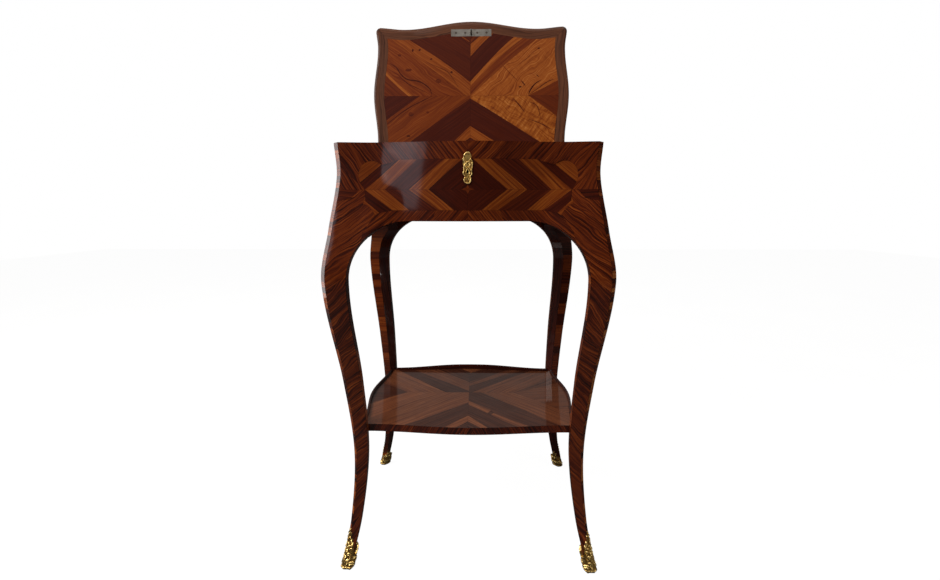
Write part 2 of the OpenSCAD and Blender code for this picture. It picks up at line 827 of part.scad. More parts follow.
module rivet(y, length, r) {
    for (s = [-1, 1]) translate([s * (lock_w / 2 - rivet_in), y, lock_low + rivet_in])
        rotate([90, 0, 0]) cylinder(r = r, h = length, $fn = 32);
}
module lock_cover() {
    color(brass) difference() {
        translate([-lock_w / 2, lock_back - wall, lock_low]) cube([lock_w, wall, lock_h]);
        translate([0, lock_back + over, case_h - key_drop]) rotate([90, 0, 0])
            cylinder(r = post_r + fit / 2, h = wall + 2 * over, $fn = 32);
        rivet(lock_back + over, wall + 2 * over, rivet_r + fit / 2);
    }
}

// Bolt: a tongue for the staple, a wide body that slides between the walls, and
// a tail below that the key throws
bolt_l = 22;
bolt_h = 3.6;
bolt_t = 3.2;
bolt_body = 12;
tail_drop = 16;
tail_w = 5;
module lock_bolt() {
    tip = -staple_t / 2 - slot_gap - 0.5;
    low = bolt_z - bolt_h / 2;
    body_t = lock_d - 2 * wall - 2 * bolt_gap;
    color(steel) translate([tip - bolt_l, lock_y, low]) {
        translate([0, -bolt_t / 2, 0]) cube([bolt_l, bolt_t, bolt_h]);
        translate([0, -body_t / 2, 0]) cube([bolt_body, body_t, bolt_h]);
        translate([0, -bolt_t / 2, -tail_drop]) cube([tail_w, bolt_t, tail_drop + bolt_h / 2]);
        translate([0, -bolt_t / 2, -tail_drop]) cube([bolt_l - 2, bolt_t, bolt_h]);
    }
}

// Leaf spring on the roof of the lock's case, bent down on to the bolt
spring_w = 3;
spring_t = 0.6;
module lock_spring() {
    x = -lock_w / 2 + wall;
    roof = lock_top - wall;
    low = bolt_z + bolt_h / 2 + fit / 2;
    color(steel) translate([0, lock_y + spring_w / 2, 0]) rotate([90, 0, 0])
        linear_extrude(spring_w) polygon([
            [x, roof], [x, roof - spring_t], [x + 6, roof - spring_t], [x + 14, low],
            [x + 16, low], [x + 16, low + spring_t], [x + 14.4, low + spring_t], [x + 6.4, roof]
        ]);
}

module lock_key_post() {
    color(steel) translate([0, lock_back, case_h - key_drop]) rotate([90, 0, 0])
        cylinder(r = post_r, h = lock_d - wall - bolt_gap, $fn = 32);
}

module lock_screws() {
    color(steel) {
        at_spots(lock_spots, case_h, false) screw();
        rivet(lock_back + rivet_head, lock_d - wall + rivet_head, rivet_r);
    }
}

// Escutcheon: a waisted cartouche of overlapping lobes, pinned to the rail
esc_z = case_h - key_drop + 3;
esc_y = -half_d - front_bow - fit;
// Lobes: height, radius and offset as shares of the half height and half width
esc_lobes = [
    [0.8, 0.62, 0], [0.42, 0.78, 0.1], [0.05, 0.8, -0.15],
    [-0.25, 1, 0], [-0.62, 0.72, 0.12], [-0.82, 0.55, 0]
];
esc_pin_r = 0.7;
esc_pin_l = 7;
module keyhole_escutcheon() {
    w = escutcheon_w / 2;
    h = escutcheon_h / 2;
    color(gilt) translate([0, esc_y, 0]) difference() {
        for (q = esc_lobes) translate([q[2] * w, 0, esc_z + q[0] * h]) rotate([90, 0, 0])
            cylinder(r = q[1] * w, h = escutcheon_t, $fn = 40);
        keyhole(over, -escutcheon_t - over);
        escutcheon_pin(fit / 2, -esc_y);
    }
}
module escutcheon_pin(grow, shift = 0) {
    for (q = [0.78, -0.8]) translate([0, esc_y + shift + esc_pin_l, esc_z + q * escutcheon_h / 2])
        rotate([90, 0, 0])
            cylinder(r = esc_pin_r + grow, h = esc_pin_l + escutcheon_t + esc_pin_r / 2, $fn = 24);
}
module escutcheon_pins() {
    color(gilt) escutcheon_pin(0);
}

// Gilt feet: a shell round the leg's end, raked from the outer corner down to
// the inner one, with a rolled toe
sabot_rows = 12;
sabot_waist = 1.2;
roll_r = 6.6;
roll_w = 15;
function sabot_grow(z) =
    sabot_t + sabot_flare * ease(1 - z / sabot_h) - sabot_waist * ease(1 - z / (1.5 * roll_r));
module sabot(left, front) {
    // The raked cut falls from the outer corner across the diagonal of the foot
    across = 1.3 * toe_w + 2 * sabot_t + 6;
    rake = atan2(sabot_h - sabot_low, across);
    peak = [half_w + swing(sabot_h) + 3, half_d + swing(sabot_h) + 3, sabot_h];
    toe = [half_w + foot_out - 2, half_d + foot_out - 2, roll_r + sabot_waist / 3];
    color(gilt) to_quarter(left, front) difference() {
        union() {
            loft([for (k = [0:sabot_rows])
                let (z = sabot_h * k / sabot_rows)
                leg_ring(z, side_back, sabot_grow(z))]);
            translate(toe) rotate(45) rotate([90, 0, 0])
                cylinder(r = roll_r, h = roll_w, center = true, $fn = 32);
        }
        loft([for (k = [0:sabot_rows])
            let (z = sole_t + (sabot_h + over - sole_t) * k / sabot_rows)
            leg_ring(z, front ? side_front : side_back, fit)]);
        translate(peak) rotate(45) rotate([0, -rake, 0])
            translate([-half_w, -half_d / 2, 0]) cube([half_w, half_d, half_d]);
        sabot_pin(fit / 2);
    }
}

// One pin near the top of each foot's leaf, through the canted corner
sabot_pin_r = 0.8;
sabot_pin_l = 6;
module sabot_pin(grow) {
    z = sabot_h - 14;
    corner = swing(z) - outer_cant * width_at(z) / 2;
    translate([half_w + corner, half_d + corner, z]) rotate([0, 90, 45])
        translate([0, 0, -sabot_pin_l])
            cylinder(r = sabot_pin_r + grow, h = sabot_pin_l + sabot_grow(z) + 1.2, $fn = 24);
}
module sabot_pins() {
    color(gilt) for (l = [false, true]) for (f = [false, true]) to_quarter(l, f) sabot_pin(0);
}

leg(true, true);  // leg_front_left
leg(false, true);  // leg_front_right
leg(true, false);  // leg_rear_left
leg(false, false);  // leg_rear_right
rail_front();
rail_rear();
rail_end(true);  // rail_left
rail_end(false);  // rail_right
case_floor();
floor_bearers();
shelf_board();
shelf_veneer();
shelf_rim_back();
shelf_rim_end(true);  // shelf_rim_left
shelf_rim_end(false);  // shelf_rim_right
shelf_dowels();
lid_core();
lid_inner_veneer();
lid_outer_veneer();
lid_edge_front();
lid_edge_back();
lid_edge_end(true);  // lid_edge_left
lid_edge_end(false);  // lid_edge_right
hinge_case_leaf(-1);  // hinge_leaf_left
hinge_case_leaf(1);  // hinge_leaf_right
hinge_lid_leaf(-1);  // hinge_lid_leaf_left
hinge_lid_leaf(1);  // hinge_lid_leaf_right
hinge_pin(-1);  // hinge_pin_left
hinge_pin(1);  // hinge_pin_right
hinge_screws();
hinge_lid_screws();
strike_plate();
strike_screws();
lock_top_plate();
lock_case();
lock_cover();
lock_bolt();
lock_spring();
lock_key_post();
lock_screws();
keyhole_escutcheon();
escutcheon_pins();
sabot(true, true);  // sabot_front_left
sabot(false, true);  // sabot_front_right
sabot(true, false);  // sabot_rear_left
sabot(false, false);  // sabot_rear_right
sabot_pins();
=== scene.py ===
"""Small serpentine work table: veneer leaves, mouldings, gilt mounts, polish and studio light.

Lengths in the shape functions are millimetres in the frame of the solids; MM turns them into metres
when a mesh is made. Front is -Y, the floor is Z = 0.
"""

import math
from collections import namedtuple

import bpy
import numpy as np
from mathutils import Matrix


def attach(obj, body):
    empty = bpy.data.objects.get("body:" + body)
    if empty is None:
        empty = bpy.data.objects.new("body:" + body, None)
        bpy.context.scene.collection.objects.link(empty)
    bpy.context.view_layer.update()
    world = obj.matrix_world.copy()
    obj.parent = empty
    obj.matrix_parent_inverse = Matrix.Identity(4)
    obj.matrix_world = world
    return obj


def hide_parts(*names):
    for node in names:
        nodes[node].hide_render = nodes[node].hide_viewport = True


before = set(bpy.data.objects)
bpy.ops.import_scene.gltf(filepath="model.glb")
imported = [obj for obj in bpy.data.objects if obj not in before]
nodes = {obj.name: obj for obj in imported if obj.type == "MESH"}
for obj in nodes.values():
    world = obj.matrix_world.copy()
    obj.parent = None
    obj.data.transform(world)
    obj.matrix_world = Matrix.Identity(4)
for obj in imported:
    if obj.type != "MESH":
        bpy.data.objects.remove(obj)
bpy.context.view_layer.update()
MM = 0.001
chance = np.random.default_rng(7)

# Shapes of the case, as in the solids
HALF_W = 202.5
HALF_D = 142.0
CASE_H = 720.0
RAIL_Z = 604.0
RAIL_T = 17.0
POST_W = 45.0
POST_D = 36.0
LEG_FLAT = 0.8
OUTER_CANT = 0.21
INNER_CANT = 0.42
SOLE = 8.0
FRONT_BOW = 8.5
FRONT_DIP = 4.5
END_BOW = 4.5
END_DIP = 4.2
FRONT_ARCH_R = 94.0
END_ARCH_R = 78.0
# Share of the way to the corner at which a side is hollowest
HOLLOW_AT = 0.7
# Run along a rail over which the leg's swing fades away
FADE = 60
# Height and swing of the leg's outer face, then height and width of the leg
LEG_LINE = np.array([
    [0, 20], [90, 3.5], [210, -4.8], [340, 4.5], [510, 24], [590, 12.2], [672, -1.5], [720, 0],
])
LEG_WIDTH = np.array([[0, 14], [210, 24], [510, 39.5]])

# How far out a side stands, its half length, where its post begins, its bow and
# its hollow, and the centre and radius of its arch
Side = namedtuple("Side", "out along post bow dip centre radius")


def curve(points, t):
    """Hermite curve through points; each slope is that of the chord between its neighbours."""
    x, y = points.T
    chord = np.diff(y) / np.diff(x)
    slope = np.r_[chord[0], (y[2:] - y[:-2]) / (x[2:] - x[:-2]), chord[-1]]
    t = np.clip(t, x[0], x[-1])
    i = np.clip(np.searchsorted(x, t, side="right") - 1, 0, len(x) - 2)
    h = x[i + 1] - x[i]
    u = (t - x[i]) / h
    return (y[i] * (2 * u**3 - 3 * u**2 + 1) + y[i + 1] * (3 * u**2 - 2 * u**3)
            + h * slope[i] * (u**3 - 2 * u**2 + u) + h * slope[i + 1] * (u**3 - u**2))


def ease(t):
    """Half a cosine wave from 0 to 1."""
    return (1 - np.cos(np.pi * np.clip(t, 0, 1))) / 2


def serpentine(t, bow, dip):
    """Bow at the middle, hollow at HOLLOW_AT of the way, nothing at the corner."""
    hollow = -dip * (1 - ease((t - HOLLOW_AT) / (1 - HOLLOW_AT)))
    return np.where(t < HOLLOW_AT, bow - (bow + dip) * ease(t / HOLLOW_AT), hollow)


def swing(z):
    """How far the leg's outer face stands out of the corner at height z."""
    return curve(LEG_LINE, z)


def leg_width(z):
    """Width of the leg's front face at height z, below the arch."""
    return curve(LEG_WIDTH, z)


def arch_centre(half, radius, flat):
    """Centre of a rail's arch: the leg's inner edge where the arch springs, less its radius."""
    spring = RAIL_Z - radius
    return half + swing(spring) - flat * leg_width(spring) - radius


FRONT = Side(HALF_D, HALF_W, HALF_W - POST_W, FRONT_BOW, FRONT_DIP,
             arch_centre(HALF_W, FRONT_ARCH_R, 1), FRONT_ARCH_R)
BACK = FRONT._replace(bow=0.0, dip=0.0)
END = Side(HALF_W, HALF_D, HALF_D - POST_D, END_BOW, END_DIP,
           arch_centre(HALF_D, END_ARCH_R, LEG_FLAT), END_ARCH_R)


def face(side, p, z):
    """Distance of a side's outer face from the middle, at p along it and height z."""
    p = np.abs(p)
    s = swing(z) * ease((p - side.post + FADE) / FADE)
    return side.out + s + serpentine(np.maximum(0, p - s) / side.along, side.bow, side.dip)


def arch_height(side, p):
    """Height of a rail's lower edge at p along it."""
    p = np.abs(p)
    drop = np.sqrt(np.maximum(0, side.radius**2 - (p - side.centre)**2))
    return np.where(p <= side.centre, RAIL_Z, RAIL_Z - side.radius + drop)


def inner_edge(side, z, outer, wide):
    """Inner edge of the leg on a side: leg width below the arch, the arch, then the post."""
    up = np.minimum(z, RAIL_Z) - RAIL_Z + side.radius
    arch = side.centre + np.sqrt(np.maximum(0, side.radius**2 - up**2))
    return np.where(z <= RAIL_Z - side.radius, outer - wide, np.maximum(side.post, arch))


def inner_x(z):
    """Inner edge of the leg's front face at height z."""
    return inner_edge(FRONT, z, HALF_W + swing(z), leg_width(z))


def inner_y(z):
    """Inner edge of the leg's end face at height z."""
    return inner_edge(END, z, HALF_D + swing(z), LEG_FLAT * leg_width(z))


def cant_in(z):
    """How far in from the corner the outer cant begins: a share of the leg's width."""
    return OUTER_CANT * np.minimum(leg_width(z), POST_W)


def leg_corners(z, side, grow=0.0):
    """Six arrises of the leg at height z: inner cant, end face, front or back face."""
    z = np.asarray(z, float)
    ax = HALF_W + swing(z)
    by = HALF_D + swing(z)
    ai = inner_x(z) - grow
    bi = inner_y(z) - grow
    ca = INNER_CANT * np.minimum(ax - ai, POST_W)
    cb = INNER_CANT * np.minimum(by - bi, POST_D)
    ao = ax - cant_in(z)
    bo = by - cant_in(z)
    corners = [
        (ai, bi + cb), (ai + ca, bi), (face(END, bi, z) + grow, bi),
        (face(END, bo, z) + grow, bo), (ao, face(side, ao, z) + grow), (ai, face(side, ai, z) + grow),
    ]
    return np.stack([np.stack(np.broadcast_arrays(x, y, z), -1) for x, y in corners], -2)


def leg_ring(z, side, grow=0.0, parts=4):
    """Closed section of the leg in the +X +Y quarter at each height z, as in the solids."""
    c = leg_corners(z, side, grow)
    z = np.asarray(z, float)
    ring = [c[..., 0, :], c[..., 1, :]]
    for k in range(parts + 1):
        b = c[..., 2, 1] + (c[..., 3, 1] - c[..., 2, 1]) * k / parts
        ring.append(np.stack([face(END, b, z) + grow, b, z], -1))
    for k in range(parts + 1):
        a = c[..., 4, 0] + (c[..., 5, 0] - c[..., 4, 0]) * k / parts
        ring.append(np.stack([a, face(side, a, z) + grow, z], -1))
    return np.stack(ring, -2)


# Meshes
def make_piece(name, points, tris, material, body, replaced=(), marks=None, sharp=35):
    """Mesh of triangles from millimetre points, with its attributes, shading and frame words."""
    mesh = bpy.data.meshes.new(name)
    points = np.asarray(points, float)
    tris = np.asarray(tris, np.int32)
    mesh.vertices.add(len(points))
    mesh.vertices.foreach_set("co", (points * MM).astype(np.float32).ravel())
    mesh.loops.add(tris.size)
    mesh.loops.foreach_set("vertex_index", tris.ravel())
    mesh.polygons.add(len(tris))
    mesh.polygons.foreach_set("loop_start", np.arange(0, tris.size, 3, dtype=np.int32))
    mesh.update(calc_edges=True)
    mesh.validate()
    mesh.polygons.foreach_set("use_smooth", np.ones(len(mesh.polygons), bool))
    mesh.set_sharp_from_angle(angle=math.radians(sharp))
    for key, values in (marks or {}).items():
        kind = "FLOAT_VECTOR" if values.shape[1] == 3 else "FLOAT_COLOR"
        layer = mesh.attributes.new(key, kind, "POINT")
        layer.data.foreach_set("vector" if kind == "FLOAT_VECTOR" else "color",
                               values.astype(np.float32).ravel())
    piece = bpy.data.objects.new(name, mesh)
    bpy.context.scene.collection.objects.link(piece)
    mesh.materials.append(material)
    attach(piece, body)
    if replaced:
        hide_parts(*replaced)
    return piece


def grid_tris(rows, columns, wrap=False):
    """Two triangles for each cell of a grid of rows by columns of points."""
    last = columns if wrap else columns - 1
    i, j = np.meshgrid(np.arange(rows - 1), np.arange(last), indexing="ij")
    k = (j + 1) % columns
    a, b = i * columns + j, i * columns + k
    c, d = a + columns, b + columns
    halves = [np.stack([a, b, d], -1), np.stack([a, d, c], -1)]
    return np.concatenate([half.reshape(-1, 3) for half in halves])


def facing(points, tris):
    """Triangles turned so that the closed surface they form has a positive volume."""
    p = points[tris]
    volume = np.einsum("ij,ij->i", p[:, 0], np.cross(p[:, 1], p[:, 2])).sum()
    return tris if volume > 0 else tris[:, ::-1]


def carried(rings):
    """Surface through closed rings of points, shut at both ends by a fan round the middle."""
    rings = np.asarray(rings, float)
    rows, columns = rings.shape[:2]
    points = np.concatenate([rings.reshape(-1, 3), rings[:1].mean(1), rings[-1:].mean(1)])
    j = np.arange(columns)
    k = (j + 1) % columns
    first = np.full(columns, rows * columns)
    far = (rows - 1) * columns
    tris = np.concatenate([
        grid_tris(rows, columns, wrap=True),
        np.stack([first, k, j], -1),
        np.stack([first + 1, far + j, far + k], -1),
    ])
    return points, facing(points, tris)


def joined(parts):
    """Several (points, triangles) pairs as one."""
    shift = np.cumsum([0] + [len(p) for p, _ in parts])
    return (np.concatenate([p for p, _ in parts]),
            np.concatenate([t + s for (_, t), s in zip(parts, shift)]))


# Veneer
def share_along(line):
    """Points of a line and how far along it each lies, from 0 to 1."""
    line = np.atleast_2d(np.asarray(line, float))
    if len(line) == 1:
        line = np.repeat(line, 2, 0)
    run = np.r_[0, np.cumsum(np.hypot(*np.diff(line, axis=0).T))]
    if run[-1] < 1e-6:
        return np.array([0.0, 1.0]), line[[0, -1]], 0.0
    return run / run[-1], line, run[-1]


# Distance that stands for no seam near
FAR = 1000.0


def tangents(line, u):
    """Unit direction of a line of points at each share u, zero where the line is one point."""
    step = np.gradient(line, u, axis=0)
    size = np.hypot(step[:, 0], step[:, 1])[:, None]
    return np.where(size > 1e-3, step / np.maximum(size, 1e-9), 0)


def off_line(places, start, run):
    """Distance of places from the straight line through start along the unit direction run."""
    away = places - start
    return np.abs(away[..., 0] * run[..., 1] - away[..., 1] * run[..., 0])


def seam_distances(flat, a, b, u, hidden):
    """Distance of a leaf's places from its four sides, FAR from a side that is hidden or a point."""
    seams = []
    for line, side in ((a, "a"), (b, "b")):
        run = tangents(line, u)[:, None]
        lost = (np.abs(run).sum(-1) == 0) | (side in hidden)
        seams.append(np.where(lost, FAR, off_line(flat, line[:, None], run)))
    for i, side in ((0, "start"), (-1, "end")):
        ray = b[i] - a[i]
        size = np.hypot(*ray)
        if size < 1e-3 or side in hidden:
            seams.append(np.full(flat.shape[:2], FAR))
        else:
            seams.append(off_line(flat, a[i], ray / size))
    return np.stack(seams, -1).reshape(-1, 4)


def welded(flat, tris):
    """Places with the doubles merged, the triangles left on them, and the places kept."""
    _, keep, same = np.unique(np.round(flat, 3), axis=0, return_index=True, return_inverse=True)
    tris = same.ravel()[tris]
    whole = (tris[:, 0] != tris[:, 1]) & (tris[:, 1] != tris[:, 2]) & (tris[:, 0] != tris[:, 2])
    return flat[keep], tris[whole], keep


class Sheet:
    """Thin closed leaves laid edge to edge on one surface. The surface turns flat
    millimetre places into points; each leaf is the ruled grid between two lines."""

    def __init__(self, surface, outward, thick=0.6, cell=4.0):
        self.surface = surface
        self.outward = np.asarray(outward, float)
        self.thick = thick
        self.cell = cell
        self.parts = []
        self.marks = []

    def leaf(self, line_a, line_b, grain, tone, hue=0.5, figure=0.0, stripe=0.5, hidden=()):
        """P(u, v) = (1 - v) A(u) + v B(u), made a slab. grain is the fibre's angle in degrees;
        tone, hue, figure and stripe go to the shader; hidden names sides without a seam."""
        share_a, line_a, long_a = share_along(line_a)
        share_b, line_b, long_b = share_along(line_b)
        cells = max(2, int(max(long_a, long_b) / self.cell) + 1)
        u = np.unique(np.round(np.r_[np.linspace(0, 1, cells + 1), share_a, share_b], 5))
        a = np.stack([np.interp(u, share_a, line_a[:, k]) for k in (0, 1)], -1)
        b = np.stack([np.interp(u, share_b, line_b[:, k]) for k in (0, 1)], -1)
        rows = max(1, int(np.hypot(*(b - a).T).max() / self.cell) + 1)
        v = np.linspace(0, 1, rows + 1)[None, :, None]
        flat = (1 - v) * a[:, None] + v * b[:, None]
        seams = seam_distances(flat, a, b, u, hidden)
        flat, tris, keep = welded(flat.reshape(-1, 2), grid_tris(len(u), rows + 1))
        top = self.surface(flat[:, 0], flat[:, 1])
        seed = chance.uniform(0, 9, 2)
        turn = math.radians(grain)
        along = flat[:, 0] * math.cos(turn) + flat[:, 1] * math.sin(turn)
        side = flat[:, 1] * math.cos(turn) - flat[:, 0] * math.sin(turn)
        fibre = np.stack([along * MM + seed[0], side * MM + seed[1], np.zeros(len(flat))], -1)
        look = np.tile([tone, hue, figure, stripe], (len(flat), 1))
        self.slab(top, tris, fibre, look, seams[keep] * MM)

    def slab(self, top, tris, fibre, tone, seams):
        """Closes a leaf with an underside and edges."""
        size = np.cross(top[tris[:, 1]] - top[tris[:, 0]], top[tris[:, 2]] - top[tris[:, 0]])
        if (size.sum(0) * self.outward).sum() < 0:
            tris = tris[:, ::-1]
            size = -size
        normal = np.zeros_like(top)
        for k in range(3):
            np.add.at(normal, tris[:, k], size)
        normal /= np.maximum(np.linalg.norm(normal, axis=1, keepdims=True), 1e-9)
        n = len(top)
        edges = np.concatenate([tris[:, [0, 1]], tris[:, [1, 2]], tris[:, [2, 0]]])
        code = edges.min(1) * n + edges.max(1)
        _, back, count = np.unique(code, return_inverse=True, return_counts=True)
        rim = edges[count[back.ravel()] == 1]
        walls = np.concatenate([
            np.stack([rim[:, 1], rim[:, 0], rim[:, 0] + n], -1),
            np.stack([rim[:, 1], rim[:, 0] + n, rim[:, 1] + n], -1),
        ])
        self.parts.append((np.concatenate([top, top - normal * self.thick]),
                           np.concatenate([tris, tris[:, ::-1] + n, walls])))
        self.marks.append([np.concatenate([m, m]) for m in (fibre, tone, seams)])

    def lay(self, name, material, body="table", replaced=()):
        """Makes all leaves of the sheet one piece."""
        points, tris = joined(self.parts)
        fibre, tone, seams = (np.concatenate([m[k] for m in self.marks]) for k in range(3))
        return make_piece(name, points, tris, material, body, replaced,
                          {"fibre": fibre, "tone": tone, "seams": seams})


# Shader groups
def new_group(name, inputs, outputs):
    """Empty shader group with named sockets: (name, kind, value) each."""
    group = bpy.data.node_groups.new(name, "ShaderNodeTree")
    for label, kind, value in inputs:
        socket = group.interface.new_socket(label, in_out="INPUT", socket_type="NodeSocket" + kind)
        if value is not None:
            socket.default_value = value
    for label, kind in outputs:
        group.interface.new_socket(label, in_out="OUTPUT", socket_type="NodeSocket" + kind)
    return group


class Wiring:
    """Adds nodes to a tree in few words."""

    def __init__(self, tree):
        self.tree = tree

    def node(self, kind, **values):
        """New shader node of a kind, with its settings."""
        made = self.tree.nodes.new("ShaderNode" + kind if kind[:4] != "Node" else kind)
        for key, value in values.items():
            setattr(made, key, value)
        return made

    def put(self, socket, value):
        """Links a socket to another one, or sets its constant."""
        if isinstance(value, bpy.types.NodeSocket):
            self.tree.links.new(value, socket)
        else:
            socket.default_value = value

    def maths(self, operation, a, b=0.0, clamp=False):
        """One sum, difference, product, least or greatest of two values."""
        made = self.node("Math", operation=operation, use_clamp=clamp)
        self.put(made.inputs[0], a)
        self.put(made.inputs[1], b)
        return made.outputs[0]

    def scaled(self, value, factor, middle=0.0):
        """A value less its middle, times a factor."""
        if middle:
            value = self.maths("SUBTRACT", value, middle)
        return self.maths("MULTIPLY", value, factor)

    def xyz(self, x, y, z=0.0):
        """Vector of three values."""
        made = self.node("CombineXYZ")
        for socket, value in zip(made.inputs, (x, y, z)):
            self.put(socket, value)
        return made.outputs[0]

    def split(self, vector):
        """The three values of a vector."""
        made = self.node("SeparateXYZ")
        self.put(made.inputs[0], vector)
        return made.outputs

    def noise(self, vector, scale=1.0, detail=2.0, rough=0.5):
        """Smooth noise from 0 to 1."""
        made = self.node("TexNoise")
        self.put(made.inputs["Vector"], vector)
        for label, value in (("Scale", scale), ("Detail", detail), ("Roughness", rough)):
            self.put(made.inputs[label], value)
        return made.outputs["Fac"]

    def ramp(self, value, stops):
        """Colour by value, straight between stops of a place and a colour."""
        made = self.node("ValToRGB")
        for k, (at, colour) in enumerate(stops):
            stop = made.color_ramp.elements[k] if k < 2 else made.color_ramp.elements.new(at)
            stop.position = at
            stop.color = (*colour, 1.0)
        self.put(made.inputs[0], value)
        return made.outputs[0]

    def spread(self, value, low, high, to_low=0.0, to_high=1.0):
        """A value's range from low to high drawn out to another range, held at its ends."""
        made = self.node("MapRange")
        for k, v in enumerate((value, low, high, to_low, to_high)):
            self.put(made.inputs[k], v)
        return made.outputs[0]

    def blend(self, share, a, b, kind="MIX"):
        """Colour a changed towards b by a share."""
        made = self.node("Mix", data_type="RGBA", blend_type=kind)
        self.put(made.inputs["Factor"], share)
        self.put(made.inputs[6], a)
        self.put(made.inputs[7], b)
        return made.outputs[2]


def build_fibre_group():
    """Wood figure: broad bands and fine lines across the fibre, bent by slow noise, with
    swirls as figure rises to 0.5 and a ripple across the fibre beyond. Puts out a tone and a height."""
    group = new_group(
        "wood figure",
        [("Fibre", "Vector", None), ("Figure", "Float", 0.0), ("Stripe", "Float", 0.5)],
        [("Tone", "Float"), ("Height", "Float")],
    )
    w = Wiring(group)
    inside = w.node("NodeGroupInput")
    along, across, _ = w.split(inside.outputs["Fibre"])
    figure = inside.outputs["Figure"]

    def grain(lengthwise, crosswise, place, layer=0.0, **more):
        """Noise drawn out along the fibre: waves per metre along it and across it."""
        return w.noise(w.xyz(w.scaled(along, lengthwise), w.scaled(place, crosswise), layer), **more)

    sway = w.scaled(grain(9.0, 26.0, across, detail=1.0), 0.010, 0.5)
    swirl = w.scaled(grain(14.0, 30.0, across, 3.0), 0.075, 0.5)
    knot = w.scaled(swirl, w.maths("MINIMUM", figure, 0.5))
    burl = w.maths("MAXIMUM", w.maths("SUBTRACT", figure, 0.5), 0.0)
    ripple = w.scaled(grain(190.0, 42.0, across, 7.0), burl, 0.5)
    bent = w.maths("ADD", w.maths("ADD", across, sway), knot)
    bands = grain(4.0, 210.0, bent, rough=0.6)
    lines = grain(10.0, 620.0, bent, 5.0)
    pores = grain(60.0, 1500.0, bent, 8.0, detail=0.0)
    veins = w.spread(bands, 0.56, 0.68)
    tone = w.maths("ADD", w.scaled(bands, 1.0, 0.5), w.scaled(lines, 0.75, 0.5))
    tone = w.maths("SUBTRACT", tone, w.scaled(veins, 0.42))
    tone = w.maths("SUBTRACT", tone, w.scaled(w.spread(pores, 0.6, 0.75), 0.10))
    tone = w.scaled(tone, w.scaled(inside.outputs["Stripe"], 2.0))
    tone = w.maths("ADD", tone, w.scaled(ripple, 1.5))
    outside = w.node("NodeGroupOutput")
    w.put(outside.inputs["Tone"], tone)
    w.put(outside.inputs["Height"], w.maths("SUBTRACT", w.scaled(lines, 0.5), w.scaled(pores, 0.5)))
    return group


def build_wood_colour_group():
    """Turns a tone from 0 to 1 into the colour of polished tropical veneer, near black
    through red brown and orange brown to tan, redder where hue is low."""
    inputs = [("Tone", "Float", 0.5), ("Hue", "Float", 0.5)]
    group = new_group("wood colour", inputs, [("Color", "Color")])
    w = Wiring(group)
    inside = w.node("NodeGroupInput")
    red = w.ramp(inside.outputs["Tone"], [
        (0.0, (0.014, 0.0022, 0.0012)),
        (0.25, (0.055, 0.0062, 0.0022)),
        (0.5, (0.150, 0.0230, 0.0045)),
        (0.75, (0.300, 0.0640, 0.0120)),
        (1.0, (0.500, 0.1550, 0.0400)),
    ])
    orange = w.ramp(inside.outputs["Tone"], [
        (0.0, (0.016, 0.0030, 0.0012)),
        (0.25, (0.060, 0.0085, 0.0022)),
        (0.5, (0.175, 0.0330, 0.0040)),
        (0.75, (0.350, 0.0950, 0.0130)),
        (1.0, (0.580, 0.2300, 0.0600)),
    ])
    outside = w.node("NodeGroupOutput")
    w.put(outside.inputs["Color"], w.blend(inside.outputs["Hue"], red, orange))
    return group


def build_wear_group():
    """Soft patches of handling and dust from Object coordinates, from 0 to 1, and the
    slow unevenness of hand polish as a height."""
    group = new_group("handling", [("Place", "Vector", None)], [("Dull", "Float"), ("Wave", "Float")])
    w = Wiring(group)
    inside = w.node("NodeGroupInput")
    place = inside.outputs["Place"]
    outside = w.node("NodeGroupOutput")
    w.put(outside.inputs["Dull"], w.spread(w.noise(place, 34.0, 4.0, 0.65), 0.35, 0.7))
    w.put(outside.inputs["Wave"], w.noise(place, 21.0, 1.0))
    return group


# Materials
FIGURE = build_fibre_group()
WOOD = build_wood_colour_group()
HANDLING = build_wear_group()


def new_material(name):
    """Empty material with a Principled shader, its wiring and its Object coordinates."""
    material = bpy.data.materials.new(name)
    material.use_nodes = True
    material.node_tree.nodes.clear()
    w = Wiring(material.node_tree)
    shader = w.node("BsdfPrincipled")
    out = w.node("OutputMaterial")
    w.put(out.inputs["Surface"], shader.outputs[0])
    place = w.node("TexCoord").outputs["Object"]
    return material, w, shader, place


def use_group(w, group, **values):
    """Places a shader group with its inputs and gives its outputs."""
    made = w.node("Group", node_tree=group)
    for key, value in values.items():
        w.put(made.inputs[key], value)
    return made.outputs


def bump(w, height, distance, strength, under=None):
    """Normal tipped by a height, over another normal if there is one."""
    made = w.node("Bump")
    made.inputs["Strength"].default_value = strength
    made.inputs["Distance"].default_value = distance
    w.put(made.inputs["Height"], height)
    if under is not None:
        w.put(made.inputs["Normal"], under)
    return made.outputs[0]


def polish(w, shader, place, colour, height, coat=0.9, rough=0.32, grain_depth=0.00004, haze=0.045):
    """French polish over wood: a clear coat with slow waves, duller where handled; haze is the
    coat's roughness."""
    hand = use_group(w, HANDLING, Place=place)
    w.put(shader.inputs["Base Color"], colour)
    w.put(shader.inputs["Roughness"], w.spread(hand["Dull"], 0.0, 1.0, rough, rough + 0.12))
    w.put(shader.inputs["Coat Weight"], w.spread(hand["Dull"], 0.0, 1.0, coat, coat * 0.85))
    shader.inputs["Coat Roughness"].default_value = haze
    shader.inputs["Coat IOR"].default_value = 1.5
    shader.inputs["Specular IOR Level"].default_value = 0.08
    wave = bump(w, hand["Wave"], 0.0004, 0.5)
    w.put(shader.inputs["Normal"], bump(w, height, grain_depth, 0.5, wave))
    w.put(shader.inputs["Coat Normal"], wave)


DULL_BROWN = [(0.1, (0.012, 0.006, 0.004)), (0.9, (0.30, 0.17, 0.10))]


